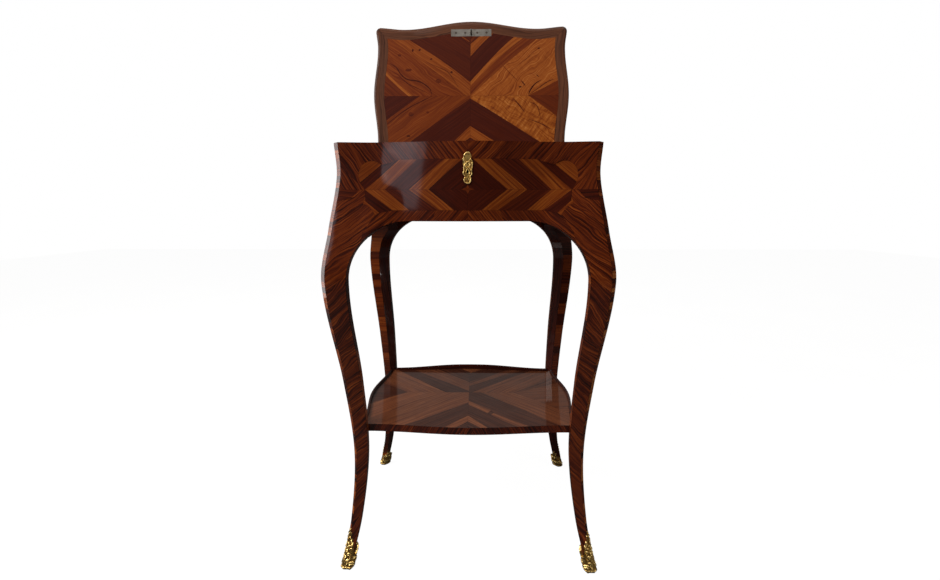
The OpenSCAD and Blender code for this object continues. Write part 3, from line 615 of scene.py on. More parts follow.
def veneer_material(name, lift=0.0, seam=0.0003, coat=0.9, rough=0.45, brown=0.0, haze=0.045):
    """Leaves of veneer: fibre, tone and seam distances come from the leaves themselves. lift is
    added to the tone, seam is a joint's width in metres, brown the share of a duller brown."""
    material, w, shader, place = new_material(name)
    fibre = w.node("Attribute", attribute_name="fibre").outputs["Vector"]
    marks = w.node("Attribute", attribute_name="tone")
    tone, hue, figure = w.split(marks.outputs["Vector"])
    stripe = marks.outputs["Alpha"]
    edges = w.node("Attribute", attribute_name="seams")
    first, second, third = w.split(edges.outputs["Vector"])
    fourth = edges.outputs["Alpha"]
    near = w.maths("MINIMUM", w.maths("MINIMUM", first, second), w.maths("MINIMUM", third, fourth))
    grain = use_group(w, FIGURE, Fibre=fibre, Figure=figure, Stripe=stripe)
    level = w.maths("ADD", w.maths("ADD", tone, grain["Tone"]), lift, clamp=True)
    colour = use_group(w, WOOD, Tone=level, Hue=hue)["Color"]
    if brown:
        colour = w.blend(brown, colour, w.ramp(level, DULL_BROWN))
    joint = w.spread(near, seam * 0.3, seam, 0.45, 1.0)
    colour = w.blend(1.0, colour, w.xyz(joint, joint, joint), "MULTIPLY")
    height = w.maths("ADD", grain["Height"], w.scaled(joint, 0.3))
    polish(w, shader, place, colour, height, coat, rough, haze=haze)
    return material


def plain_wood(name, axis, tone, hue, stripe, coat, rough, tint=None):
    """Solid wood whose fibre runs along one axis, from Object coordinates."""
    material, w, shader, place = new_material(name)
    x, y, z = w.split(place)
    along, across, depth = {"x": (x, y, z), "y": (y, x, z), "z": (z, x, y)}[axis]
    fibre = w.xyz(along, w.maths("ADD", across, w.scaled(depth, 0.73)))
    grain = use_group(w, FIGURE, Fibre=fibre, Stripe=stripe)
    level = w.maths("ADD", grain["Tone"], tone, clamp=True)
    if tint:
        colour = w.ramp(level, tint)
    else:
        colour = use_group(w, WOOD, Tone=level, Hue=hue)["Color"]
    polish(w, shader, place, colour, grain["Height"], coat, rough, 0.00008)
    return material


def gilding(name, shine):
    """Gilt bronze coloured by the carving's height: dark patina and painted shade in the hollows,
    going near black in the deepest, brown gold on the ground, burnished pale gold on the ridges;
    rougher the deeper, with slow stains. shine is the ridges' roughness."""
    material, w, shader, place = new_material(name)
    height = w.split(w.node("Attribute", attribute_name="relief").outputs["Vector"])[0]
    stain = w.scaled(w.noise(place, 240.0, 4.0, 0.6), 0.9, 0.5)
    level = w.maths("ADD", w.spread(height, -1.0, 2.0), w.scaled(stain, 0.3), clamp=True)
    # Painted shade: the lower the carving, the darker the colour, down to near black in the deepest hollows
    w.put(shader.inputs["Base Color"], w.ramp(level, [
        (0.04, (0.006, 0.004, 0.002)),
        (0.3, (0.20, 0.105, 0.030)),
        (0.52, (0.58, 0.36, 0.105)),
        (0.8, (0.96, 0.71, 0.27)),
    ]))
    w.put(shader.inputs["Roughness"], w.spread(level, 0.1, 0.75, 0.62, shine))
    w.put(shader.inputs["Metallic"], w.spread(level, 0.0, 0.3, 0.3, 1.0))
    w.put(shader.inputs["Normal"], bump(w, w.noise(place, 1500.0, 2.0), 0.0001, 0.3))
    return material


def metal(name, light, dark, rough, detail=900.0, tarnish=0.5, scratch=0.0):
    """Worn metal: two colours by slow and fine noise, duller where tarnished. scratch is the
    strength of fine lines along X."""
    material, w, shader, place = new_material(name)
    slow = w.noise(place, 95.0, 4.0, 0.65)
    fine = w.noise(place, detail, 2.0)
    cover = w.scaled(w.spread(slow, 0.42, 0.68), tarnish)
    if scratch:
        x, y, z = w.split(place)
        lines = w.noise(w.xyz(w.scaled(x, 40.0), w.scaled(y, 900.0), w.scaled(z, 900.0)))
        cover = w.maths("MAXIMUM", cover, w.scaled(w.spread(lines, 0.5, 0.7), scratch))
    w.put(shader.inputs["Base Color"], w.blend(cover, (*light, 1.0), (*dark, 1.0)))
    w.put(shader.inputs["Roughness"], w.spread(cover, 0.0, 1.0, rough, min(1.0, rough + 0.3)))
    w.put(shader.inputs["Metallic"], w.spread(cover, 0.0, 1.0, 1.0, 0.75))
    w.put(shader.inputs["Normal"], bump(w, fine, 0.0001, 0.35))
    return material


# Finishes of the veneer, the solid woods and the metals
VENEER = veneer_material("polished veneer leaves", haze=0.08)
LEG_VENEER = veneer_material("polished leg veneer")
CANT_VENEER = veneer_material("polished cant veneer", coat=0.42)
LID_VENEER = veneer_material("lid veneer", coat=0.45)
SHELF_VENEER = veneer_material("shelf veneer", brown=0.35)
BORDER_WOOD = veneer_material("lid border wood", coat=0.14, rough=0.55, brown=0.5)
BEAD_WOOD = veneer_material("dark bead wood", lift=-0.1)
OAK_STOPS = [(0.0, (0.10, 0.045, 0.018)), (0.5, (0.30, 0.17, 0.075)), (1.0, (0.46, 0.31, 0.16))]
GROUND = {
    axis: plain_wood("ground wood along " + axis, axis, tone=0.34, hue=0.4, stripe=0.35,
                     coat=0.35, rough=0.42)
    for axis in "xyz"
}
OAK = plain_wood("plain oak along x", "x", tone=0.5, hue=0.5, stripe=0.3,
                 coat=0.0, rough=0.6, tint=OAK_STOPS)
GILT = gilding("gilt bronze", 0.30)
SOFT_GILT = gilding("softly worn gilt bronze", 0.46)
PIN_GILT = metal("gilt pins", (0.74, 0.52, 0.22), (0.20, 0.10, 0.03), rough=0.26, detail=1100.0)
SCREW = metal("dark screws", (0.075, 0.065, 0.058), (0.03, 0.024, 0.02), rough=0.4, tarnish=0.6)
BRASS = metal("lock brass", (0.60, 0.43, 0.17), (0.20, 0.12, 0.05), rough=0.32, detail=800.0,
              tarnish=0.7, scratch=0.3)
STEEL = metal("worn steel", (0.19, 0.178, 0.160), (0.09, 0.077, 0.064), rough=0.36, tarnish=0.6,
              scratch=0.5)

# Legs: signs of x and y in each quarter of the table, and the side that the broad face is on
QUARTERS = {
    "front_left": (-1, -1, FRONT), "front_right": (1, -1, FRONT),
    "rear_left": (-1, 1, BACK), "rear_right": (1, 1, BACK),
}
# Levels of a leg's sections, closest together beside the arch
LEVELS = np.r_[np.linspace(SOLE, 510, 90), np.linspace(512, RAIL_Z, 30), np.linspace(610, CASE_H, 16)]
# How far the ground wood lies inside the solids' faces, and the veneer outside them
SHRINK = 0.5
PROUD = 0.4


def leg_core(name, sx, sy, side):
    """The leg's sections carried up it, a little inside its veneer."""
    rings = leg_ring(LEVELS, side, -SHRINK) * [sx, sy, 1]
    points, tris = carried(rings)
    make_piece("leg_core_" + name, points, tris, GROUND["z"], "table", ["leg_" + name])


for name, (sx, sy, side) in QUARTERS.items():
    leg_core(name, sx, sy, side)

# The four sides: shape, the way a place along, its distance out and its height become a
# point, the way out, and the height of the swelling over the rail's joints
Way = namedtuple("Way", "side place outward hump")
SIDES = {
    "front": Way(FRONT, lambda p, out, z: np.stack([p, -out, z], -1), (0, -1, 0), 1.25),
    "back": Way(BACK, lambda p, out, z: np.stack([p, out, z], -1), (0, 1, 0), 1.55),
    "left": Way(END, lambda p, out, z: np.stack([-out, p, z], -1), (-1, 0, 0), 1.1),
    "right": Way(END, lambda p, out, z: np.stack([out, p, z], -1), (1, 0, 0), 1.1),
}


def outer_a(side, z):
    """Edge of a face at the outer cant: the corner and its swing, less the cant."""
    return (HALF_W if side.along == HALF_W else HALF_D) + swing(z) - cant_in(z)


def inner_a(side, z):
    """Inner edge of the leg on a face."""
    return inner_x(z) if side.along == HALF_W else inner_y(z)


def edge_line(edge, side, high, low, step=5.0):
    """Places down a face's edge from one height to another."""
    z = np.linspace(high, low, max(2, int(abs(high - low) / step) + 1))
    return np.stack([edge(side, z), z], -1)


def arc(start, middle, end, n):
    """Circle arc through three points: its centre is as far from all three, and it turns from
    the start over the middle to the end."""
    (ax, ay), (bx, by), (cx, cy) = start, middle, end
    d = 2 * (ax * (by - cy) + bx * (cy - ay) + cx * (ay - by))
    ux = ((ax**2 + ay**2) * (by - cy) + (bx**2 + by**2) * (cy - ay) + (cx**2 + cy**2) * (ay - by)) / d
    uy = ((ax**2 + ay**2) * (cx - bx) + (bx**2 + by**2) * (ax - cx) + (cx**2 + cy**2) * (bx - ax)) / d
    r = math.hypot(ax - ux, ay - uy)
    t0 = math.atan2(ay - uy, ax - ux)
    tm = math.atan2(by - uy, bx - ux)
    t1 = math.atan2(cy - uy, cx - ux)
    span = (t1 - t0) % (2 * math.pi)
    if (tm - t0) % (2 * math.pi) > span:
        span -= 2 * math.pi
    t = t0 + span * np.linspace(0, 1, n)
    return np.stack([ux + r * np.cos(t), uy + r * np.sin(t)], -1)


# Heights of a face's middle seam and of the bands above and below its chevrons
SEAM_Z = 651.0
BAND_TOP = 695.0
BAND_LOW = 620.0
# Places along the face where the chevrons begin: on the seam and on the two bands
ON_SEAM = [0, 59.2, 90, 126, 157]
ON_TOP = [0, 7.5, 34.2, 75.7, 103.5]
ON_LOW = [0, 19.9, 45, 89.5, 115.7]
CHEVRON_TONES = [0.22, 0.56, 0.27, 0.55]
TONE_SPREAD = 0.018
# Places along the top band's and the low band's joints, on their upper and lower edges
TOP_JOINTS = [(0, 0), (58, 46.2), (100, 84)]
TOP_CORNER = 143
LOW_JOINTS = [(48.1, 55.6), (99.6, 118.8)]
# Where the arch meets the leg's inner edge, along a broad face and along an end
FRONT_SPRING = 164.5
END_SPRING = 113.5
# Edge of the lozenge beside the escutcheon's foot
NOTCH = [(0, 672.5), (1.05, 672.5), (1.05, 677.4), (1.9, 679), (1.35, 680.35), (0, 680.9)]
# Where seam and strips cross, the half-round in the corner, and the strips' ends
CROSS = (157, SEAM_Z)
CHORD = [(163.8, 662.1), (130.3, 688.3)]
CHORD_BULGE = (159.7, 687)
BAND_END = (126.8, 686.9)
STRIP_END = [(156.4, 634.8), (135.4, 616.3)]
# Where the light sliver begins, and the leg's veneer beside it
SLIVER = (156.6, 641)
FORK = [(156.8, 641), (159.3, 634)]
# Edge of the leg's veneer from the fork down to the arch
TONGUE = [(159.3, 630), (152.4, 627), (145.5, 619.8), (141.5, 613)]
ARCH_JOINT = [(150, 602), (160, 588)]
FLANK = [(165.1, SEAM_Z), (178, 638.3)]
# Heights at the outer edge of the joints between corner, wedge, toe, flank and leg
CORNER_Z = 685.7
TOE_Z = 634.1
FLANK_Z = 598
# Heights of the joints down the leg, at its inner and its outer edge
LENGTHS = [(522, 497), (430, 402), (338, 312), (262, 240), (176, 158), (96, 82), (SOLE, SOLE)]


class FaceHalf:
    """Half of a face's leaves: lozenge and chevrons between two bands, the corner with its
    half-round, and the leg's leaves. s is -1 or 1; places are a run along the front, scaled
    to the side, and a height."""

    def __init__(self, sheet, side, s):
        self.sheet = sheet
        self.side = side
        self.s = s
        self.scale = side.along / HALF_W
        self.arch_end = FRONT_SPRING if side.along == HALF_W else END_SPRING
        self.spring = (s * self.arch_end, float(arch_height(side, self.arch_end)))
        self.round_edge = [tuple(p) for p in arc(CHORD[0], CHORD_BULGE, CHORD[1], 14)]

    def at(self, *points):
        """Places on this half."""
        return [(self.s * self.scale * a, z) for a, z in points]

    def down(self, edge, high, low):
        """Places down the outer or inner edge between two heights."""
        return [(self.s * a, z) for a, z in edge_line(edge, self.side, high, low)]

    def along_arch(self, start, end, n):
        """Places along the rail's lower edge."""
        run = np.linspace(start, end, n)
        return [(self.s * a, z) for a, z in zip(run, arch_height(self.side, run))]

    def leaf(self, line_a, line_b, grain, tone, **more):
        """One leaf, its fibre turned with the half, its tone a little off."""
        rise = math.sin(math.radians(grain))
        run = self.scale * math.cos(math.radians(grain))
        turn = self.s * math.degrees(math.atan2(rise, run))
        self.sheet.leaf(line_a, line_b, turn, tone + chance.normal(0, TONE_SPREAD), **more)

    def chevrons(self):
        """Lozenge and three chevrons, each of an upper and a lower leaf."""
        for j, tone in enumerate(CHEVRON_TONES):
            light = j % 2
            kind = dict(hue=1.0 if light else 0.25, stripe=0.35 if light else 0.22)
            for band_z, on_band, darker in ((BAND_TOP, ON_TOP, 0), (BAND_LOW, ON_LOW, 0.02)):
                near = [(ON_SEAM[j], SEAM_Z), (on_band[j], band_z)]
                if j == 0 and self.side is FRONT and band_z == BAND_TOP:
                    near[1:1] = NOTCH
                far = [(ON_SEAM[j + 1], SEAM_Z), (on_band[j + 1], band_z)]
                first = max(j, 1)
                slant = math.degrees(math.atan2(band_z - SEAM_Z, on_band[first] - ON_SEAM[first]))
                self.leaf(self.at(*near), self.at(*far), slant, tone + darker, **kind)

    def corner(self):
        """Dark strips beside the outer chevron, the half-round, and a thin light sliver."""
        self.leaf(self.at(CROSS, (ON_TOP[-1], BAND_TOP)), self.at(CROSS, *CHORD, BAND_END), 140,
                  0.24, hue=0.2, stripe=0.3)
        self.leaf(self.at(CROSS, (ON_LOW[-1], BAND_LOW)), self.at(CROSS, *STRIP_END), 38,
                  0.23, hue=0.2, stripe=0.3)
        self.leaf(self.at(*CHORD), self.at(*self.round_edge), 142, 0.54, hue=1.0, stripe=0.35)
        self.leaf(self.at(SLIVER, *STRIP_END), self.at(SLIVER, FORK[1], *TONGUE), 40, 0.56,
                  hue=0.8, stripe=0.35)

    def top_band(self):
        """Middle leaf, long leaves, and the corner leaf round the half-round."""
        grain = 52 if self.s < 0 else 47
        for (high, low), (next_high, next_low), tone in zip(TOP_JOINTS, TOP_JOINTS[1:], (0.42, 0.36)):
            self.leaf(self.at((high, CASE_H), (next_high, CASE_H)),
                      self.at((low, BAND_TOP), (next_low, BAND_TOP)), grain, tone,
                      hue=0.45, stripe=0.62, figure=0.15)
        high, low = TOP_JOINTS[-1]
        self.leaf(self.at((high, CASE_H), (TOP_CORNER, CASE_H)),
                  self.at((low, BAND_TOP), (ON_TOP[-1], BAND_TOP), BAND_END),
                  grain, 0.36, hue=0.35, stripe=0.62)
        corner = [(self.s * outer_a(self.side, CASE_H), CASE_H)]
        edge = self.down(outer_a, CASE_H, CORNER_Z)
        self.leaf(self.at((TOP_CORNER, CASE_H), BAND_END, *self.round_edge[::-1], CROSS),
                  self.at((TOP_CORNER, CASE_H)) + corner + edge + self.at(CROSS),
                  grain + 2, 0.40, hue=0.4, stripe=0.72, figure=0.3)

    def knee(self):
        """Wedges between the corner leaf and the leg, the leaf under the crossing, the knee's leaf."""
        self.leaf(self.at(CROSS), self.down(outer_a, CORNER_Z, SEAM_Z), 62, 0.42,
                  hue=0.45, stripe=0.7, figure=0.3)
        edge = self.down(outer_a, SEAM_Z, TOE_Z)
        self.leaf(self.at(FLANK[0]) + edge[:1], self.at(*FLANK) + edge[-1:], 5, 0.26, hue=0.3, stripe=0.5)
        self.leaf(self.at(CROSS, *FORK, TONGUE[0]),
                  self.at(*FLANK) + self.down(outer_a, TOE_Z, FLANK_Z), -38, 0.42,
                  hue=0.45, stripe=0.75, figure=0.35)
        knee_in, knee_out = LENGTHS[0]
        inside = self.down(inner_a, self.spring[1] - 2, knee_in)
        self.leaf(self.at(*TONGUE, *ARCH_JOINT) + [self.spring] + inside,
                  self.down(outer_a, FLANK_Z, knee_out), -37, 0.43, hue=0.5, stripe=0.8, figure=0.3)

    def low_band(self):
        """Two leaves under the chevrons and one that runs out along the arch."""
        slope = -45 if self.s < 0 else -50
        (high, low), (far_high, far_low) = LOW_JOINTS
        self.leaf(self.at((0, BAND_LOW), (high, BAND_LOW)), self.at((0, RAIL_Z), (low, RAIL_Z)),
                  slope, 0.44, hue=0.5, stripe=0.6)
        first, second = low * self.scale, far_low * self.scale
        self.leaf(self.at((high, BAND_LOW), (far_high, BAND_LOW)), self.along_arch(first, second, 12),
                  slope, 0.36, hue=0.4, stripe=0.62)
        above = self.at((far_high, BAND_LOW), (ON_LOW[-1], BAND_LOW), STRIP_END[1], TONGUE[-1], *ARCH_JOINT)
        self.leaf(above + [self.spring], self.along_arch(second, self.arch_end, 14),
                  slope + 8, 0.38, hue=0.45, stripe=0.7, figure=0.2)

    def leg(self):
        """Slanting lengths down the leg; more than half of them hide the joint at their start."""
        for (high_in, high_out), (low_in, low_out) in zip(LENGTHS, LENGTHS[1:]):
            inside = self.down(inner_a, high_in, low_in)
            outside = self.down(outer_a, high_out, low_out)
            grain = chance.uniform(-50, -38) if high_in > 200 else chance.uniform(-56, -46)
            self.leaf(inside, outside, grain, 0.40, hue=chance.uniform(0.3, 0.55), stripe=0.78,
                      figure=0.3, hidden=("start",) if chance.random() < 0.6 else ())


# Middle, half height and half width of the swelling
SWELL_Z = 686
SWELL_UP = 37
SWELL_ALONG = 34


def swelling(side, p, z, height):
    """Hump over the joint of rail and post: a squared cosine along the face times one up it."""
    u = np.clip((np.abs(p) - side.post) / SWELL_ALONG, -1, 1)
    v = np.clip((z - SWELL_Z) / SWELL_UP, -1, 1)
    return height * np.cos(np.pi * u / 2) ** 2 * np.cos(np.pi * v / 2) ** 2


def face_sheet(name):
    """One side of the table, left and right halves mirrored about its middle: the side's
    face, drawn out by the veneer's thickness and the swelling."""
    side, place, outward, hump = SIDES[name]

    def surface(p, z):
        """P at p along the face and height z."""
        return place(p, face(side, p, z) + PROUD + swelling(side, p, z, hump), z)

    sheet = Sheet(surface, outward)
    for s in (-1, 1):
        half = FaceHalf(sheet, side, s)
        half.chevrons()
        half.corner()
        half.top_band()
        half.knee()
        half.low_band()
        half.leg()
    sheet.lay("veneer_" + name, VENEER)


for name in SIDES:
    face_sheet(name)


# Narrow faces of a leg: the name's beginning, its two arrises, the way out in quarters, the
# highest place, lengths of the pieces, grain, tones on the left and the right, stripe, hues and
# finish
Narrow = namedtuple("Narrow", "name first second outward top sizes grain tones stripe hues finish")
NARROW = [
    # Painted light: the outer cants' pieces are lighter on the right-hand legs, standing in for light
    # falling on those cants
    Narrow("cant_outer_", 3, 4, (1, 1), CASE_H, (5, 15), 0, [(0.02, 0.72), (0.15, 1.0)], 0.4,
           (0.3, 0.7), CANT_VENEER),
    Narrow("cant_inner_", 0, 1, (-1, -1), 614, (60, 150), 88, [(0.20, 0.26)] * 2, 0.35,
           (0.1, 0.3), LEG_VENEER),
    Narrow("edge_arch_", 5, 0, (-1, 0), 610, (12, 40), 0, [(0.14, 0.66)] * 2, 0.4,
           (0.3, 0.7), LEG_VENEER),
    Narrow("edge_end_", 1, 2, (0, -1), 614, (12, 40), 0, [(0.14, 0.66)] * 2, 0.4,
           (0.3, 0.7), LEG_VENEER),
]


def between(kind, side, sx, sy):
    """Surface across a leg from one arris to another, drawn out by the veneer's thickness;
    places are millimetres across and height."""
    def surface(s, z):
        """P = A(z) + s run + PROUD normal, in this quarter."""
        c = leg_corners(z, side)
        a, b = c[..., kind.first, :], c[..., kind.second, :]
        wide = np.maximum(np.linalg.norm(b - a, axis=-1), 1e-6)
        run = (b - a) / wide[:, None]
        normal = np.stack([run[:, 1], -run[:, 0], np.zeros(len(run))], -1)
        point = a + run * s[:, None] + normal * PROUD
        return point * [sx, sy, 1]
    return surface


def narrow_face(kind, name, sx, sy, side):
    """Short pieces stacked down a leg's narrow face, of a length and tone drawn for each."""
    outward = (kind.outward[0] * sx, kind.outward[1] * sy, 0)
    sheet = Sheet(between(kind, side, sx, sy), outward)
    tones = kind.tones[sx > 0]
    z = kind.top
    while z > SOLE + 1:
        nxt = max(SOLE, z - chance.uniform(*kind.sizes))
        if nxt - SOLE < kind.sizes[0] * 0.6:
            nxt = SOLE
        levels = np.linspace(z, nxt, max(2, int((z - nxt) / 6) + 2))
        c = leg_corners(levels, side)
        wide = np.linalg.norm(c[..., kind.second, :] - c[..., kind.first, :], axis=-1)
        line_a = np.stack([np.zeros_like(levels), levels], -1)
        line_b = np.stack([wide, levels], -1)
        sheet.leaf(line_a, line_b, kind.grain + chance.uniform(-4, 4), chance.uniform(*tones),
                   hue=chance.uniform(*kind.hues), stripe=kind.stripe)
        z = nxt
    sheet.lay(kind.name + name, kind.finish)


for name, (sx, sy, side) in QUARTERS.items():
    for kind in NARROW:
        narrow_face(kind, name, sx, sy, side)


def soffit(name):
    """Cross-banding on a rail's lower edge: places are run along the edge and depth."""
    side, place = SIDES[name].side, SIDES[name].place
    p = np.linspace(-side.post, side.post, 241)
    z = arch_height(side, p)
    run = np.r_[0, np.cumsum(np.hypot(np.diff(p), np.diff(z)))]

    def surface(s, t):
        """P at run s along the arch and t in from the face, drawn out square to the arch."""
        q = np.interp(s, run, p)
        low = arch_height(side, q)
        lean = np.clip((np.abs(q) - side.centre) / side.radius, 0, 0.95)
        depth = face(side, q, low) + PROUD - t
        return place(q - np.sign(q) * lean * PROUD, depth, low - PROUD * np.sqrt(1 - lean**2))

    sheet = Sheet(surface, (0, 0, -1))
    s = 0.0
    while s < run[-1] - 1:
        nxt = min(run[-1], s + chance.uniform(18, 60))
        sheet.leaf([(s, 0.2), (nxt, 0.2)], [(s, RAIL_T), (nxt, RAIL_T)], 90,
                   chance.uniform(0.24, 0.4), hue=0.4, stripe=0.5)
        s = nxt
    sheet.lay("soffit_" + name, LEG_VENEER)


for name in SIDES:
    soffit(name)

# Shelf: height of its top, thickness, bow of its edges, and its corners at a leg's inner cant
SHELF_Z = 258.0
SHELF_T = 13.0
SHELF_BOW_Y = 11
SHELF_BOW_X = 13
CORNER_P, CORNER_Q = leg_corners(SHELF_Z - SHELF_T / 2, BACK)[:2, :2]


def shelf_y(x):
    """Reach of the shelf's front and back edges: the corner's, plus the bow eased to the middle."""
    return CORNER_P[1] + SHELF_BOW_Y * ease(1 - np.abs(x) / CORNER_P[0])


def shelf_x(y):
    """Reach of the shelf's end edges: the corner's, plus the bow eased to the middle."""
    return CORNER_Q[0] + SHELF_BOW_X * ease(1 - np.abs(y) / CORNER_Q[1])


# Half length of each edge of the shelf, and how far out it reaches
SHELF_SIDES = {
    "front": (CORNER_P[0], shelf_y), "back": (CORNER_P[0], shelf_y),
    "left": (CORNER_Q[1], shelf_x), "right": (CORNER_Q[1], shelf_x),
}


def shelf_surface(x, y):
    """Flat top; a nominal rectangle is drawn out to the shelf's curved edges."""
    sx = x * shelf_x(y) / CORNER_Q[0]
    sy = y * shelf_y(x) / CORNER_P[1]
    return np.stack([sx, sy, np.full_like(x, SHELF_Z)], -1)


def shelf_pattern():
    """Chevrons meeting at the shelf's middle, front quarter wide, back quarters rising to it.
    Its field reaches to w and d, its corners are cut at cut_x and cut_y, the middle is sx, sy."""
    sheet = Sheet(shelf_surface, (0, 0, 1), cell=12)
    w, d = CORNER_Q[0] - 0.2, CORNER_P[1] - 0.2
    cut_x, cut_y = CORNER_P[0] - 0.2, CORNER_Q[1] - 0.2
    sx, sy = -1.5, 4.0
    deep = dict(hue=0.3, stripe=0.25)

    def leaf(a, b, grain, tone, **more):
        """One leaf, its tone a little off."""
        more.setdefault("stripe", 0.42)
        more.setdefault("hue", 0.55)
        sheet.leaf(a, b, grain, tone + chance.normal(0, 0.012), **more)

    # Front left: light panel, dark band, light strip, small dark wedge
    leaf([(-117, sy), (-w, -50), (-w, -cut_y), (-cut_x, -d)],
         [(sx, sy), (sx, -38), (-111, -d)], 41, 0.56, figure=0.1)
    leaf([(sx, -38), (-111, -d)], [(sx, -86), (-41, -d)], 41, 0.26, **deep)
    leaf([(sx, -86), (-41, -d)], [(sx, -106), (-21, -d)], 41, 0.56)
    leaf([(sx, -106)], [(-21, -d), (sx, -d)], 41, 0.26, hue=0.3)
    # Left dark wedge and the back left quarter
    leaf([(-117, sy)], [(-w, -50), (-w, 55)], 5, 0.26, **deep)
    leaf([(-117, sy), (-w, 55)], [(-86, sy), (-w, 92)], -42, 0.50, figure=0.1)
    leaf([(-86, sy), (-w, 92), (-w, cut_y), (-cut_x, d), (-170, d)], [(-46, sy), (-170, d)], -40, 0.56)
    leaf([(-46, sy), (-170, d)], [(sx, sy), (sx, 10), (-134, d)], -41, 0.27, **deep)
    leaf([(sx, 10), (-134, d)], [(sx, 51), (-80, d)], -42, 0.50)
    leaf([(sx, 51), (-80, d)], [(sx, 104), (-26, d)], -44, 0.28, **deep)
    leaf([(sx, 104)], [(-26, d), (sx, d)], -42, 0.60)
    # Back right quarter
    leaf([(sx, 98)], [(32, d), (sx, d)], 42, 0.58)
    leaf([(sx, 98), (32, d)], [(sx, 55), (92, d)], 40, 0.27, **deep)
    leaf([(sx, 55), (92, d)], [(sx, 33), (122, d)], 40, 0.48)
    leaf([(sx, 33), (122, d)], [(sx, sy), (3, sy), (140, d)], 42, 0.27, **deep)
    leaf([(3, sy), (140, d)], [(82, sy), (w, 92), (w, cut_y), (cut_x, d)], 42, 0.50, figure=0.1)
    leaf([(82, sy), (w, 92)], [(86, sy), (w, 60)], 40, 0.36, hue=0.4)
    leaf([(86, sy)], [(w, 60), (w, -88)], 10, 0.46, figure=0.1)
    # Front right quarter, with a short broken strip beside the dark band
    leaf([(86, sy), (w, -88)], [(22, sy), (148, -cut_y), (158, -d), (cut_x, -d), (w, -cut_y)],
         -42, 0.52, hue=0.7)
    leaf([(22, sy), (148, -cut_y), (158, -d)],
         [(sx, sy), (sx, -31), (39, -68), (44, -77.5), (104, -d)], -41, 0.28, **deep)
    leaf([(sx, -31), (39, -68)], [(sx, -46.5), (33, -78)], -42, 0.55)
    leaf([(44, -77.5), (104, -d)], [(38.5, -84), (84, -d)], -42, 0.55)
    leaf([(sx, -46.5), (33, -78), (38.5, -84), (84, -d)], [(sx, -86), (33, -d)], -42, 0.27, **deep)
    leaf([(39, -68), (44, -77.5)], [(33, -78), (38.5, -84)], -42, 0.27, **deep)
    leaf([(sx, -86), (33, -d)], [(sx, -106), (20, -d)], -42, 0.58)
    leaf([(sx, -106)], [(20, -d), (sx, -d)], -42, 0.27, hue=0.3)
    sheet.lay("shelf_leaves", SHELF_VENEER, replaced=["shelf_veneer"])


shelf_pattern()


def shelf_edge(name):
    """Cross-banding on one edge of the shelf, leaning out from the middle; places are run
    along the edge and height."""
    length, reach = SHELF_SIDES[name]
    way = SIDES[name]
    sheet = Sheet(lambda p, z: way.place(p, reach(p) + PROUD, z), way.outward, cell=6)
    p = -length
    while p < length - 1:
        nxt = min(length, p + chance.uniform(9, 26))
        if length - nxt < 6:
            nxt = length
        high = [(q, SHELF_Z) for q in (p, nxt)]
        lean = [0 if abs(q) > length - 1 else 5 * np.clip(q / 20, -1, 1) for q in (p, nxt)]
        low = [(q + more, SHELF_Z - SHELF_T) for q, more in zip((p, nxt), lean)]
        sheet.leaf(high, low, 60 if p < 0 else -60, chance.uniform(0.22, 0.38), hue=0.1, stripe=0.7)
        p = nxt
    sheet.lay("shelf_edge_" + name, VENEER)


for name in SIDES:
    shelf_edge(name)

# Width and height of the bead on the shelf's back and ends
BEAD_WIDE = 4.5
BEAD_TALL = 5.5


def shelf_bead(name, rise=0.0):
    """Rounded bead carried along the shelf's edge, higher at its middle by the share rise."""
    length, reach = SHELF_SIDES[name]
    turn = np.radians(np.arange(0, 181, 18))
    half = BEAD_WIDE / 2
    profile = np.concatenate([
        [(0, 0), (BEAD_WIDE, 0)],
        np.stack([half + half * np.cos(turn), BEAD_TALL - half + half * np.sin(turn)], -1),
    ])
    inset, height = profile[None, :, 0], profile[None, :, 1]
    end = length - 0.4
    p = np.linspace(-end, end, 64)
    swell = 1 + rise * ease(1.15 - np.abs(p) / end * 1.15)
    rings = SIDES[name].place(p[:, None] + 0 * inset, reach(p)[:, None] - inset,
                              SHELF_Z + height * swell[:, None])
    points, tris = carried(rings)
    x, y, z = (points * MM).T
    marks = {
        "fibre": np.stack([x if name == "back" else y, 0.4 * y + z, 0 * x], -1),
        "tone": np.tile([0.24, 0.3, 0.1, 0.3], (len(points), 1)),
        "seams": np.full((len(points), 4), 1.0),
    }
    make_piece("shelf_bead_" + name, points, tris, BEAD_WOOD, "table", ["shelf_rim_" + name],
               marks)


shelf_bead("back", 0.9)
shelf_bead("left")
shelf_bead("right")

# Lid, shut: thickness, reach over the case, crown of its front, corner radius, border's
# width, height of its underside, the hinge pins' place, and its turn when standing open
LID_T = 15.0
LID_TOP = LID_T - 0.06
LID_OVER = 2.0
LID_CROWN = 3.0
CORNER_R = 10.0
BORDER_W = 22.0
LID_Z = 720.4
HINGE_Y = 145.4
HINGE_Z = 720.2
OPEN = math.radians(-100)


def lid_front(x, inset):
    """Reach of the lid's front: the case's serpentine and a crown that fades to the hollow."""
    t = np.abs(x) / HALF_W
    bowed = serpentine(np.minimum(1, t), FRONT_BOW, FRONT_DIP)
    return HALF_D + LID_OVER + bowed + LID_CROWN * ease(1 - t / HOLLOW_AT) - inset


def lid_side(y, inset):
    """Reach of the lid's ends: the case's serpentine a little further out."""
    return HALF_W + LID_OVER + serpentine(np.minimum(1, np.abs(y) / HALF_D), END_BOW, END_DIP) - inset


def opened(points):
    """Turns the closed lid's points open about the hinge pins."""
    y = points[..., 1] - HINGE_Y
    z = points[..., 2] - HINGE_Z
    return np.stack([points[..., 0], HINGE_Y + y * math.cos(OPEN) - z * math.sin(OPEN),
                     HINGE_Z + y * math.sin(OPEN) + z * math.cos(OPEN)], -1)


# Half size of the rectangle in which the leaves of the lid's field are placed
NOMINAL_X = 182.5
NOMINAL_Y = 120.0


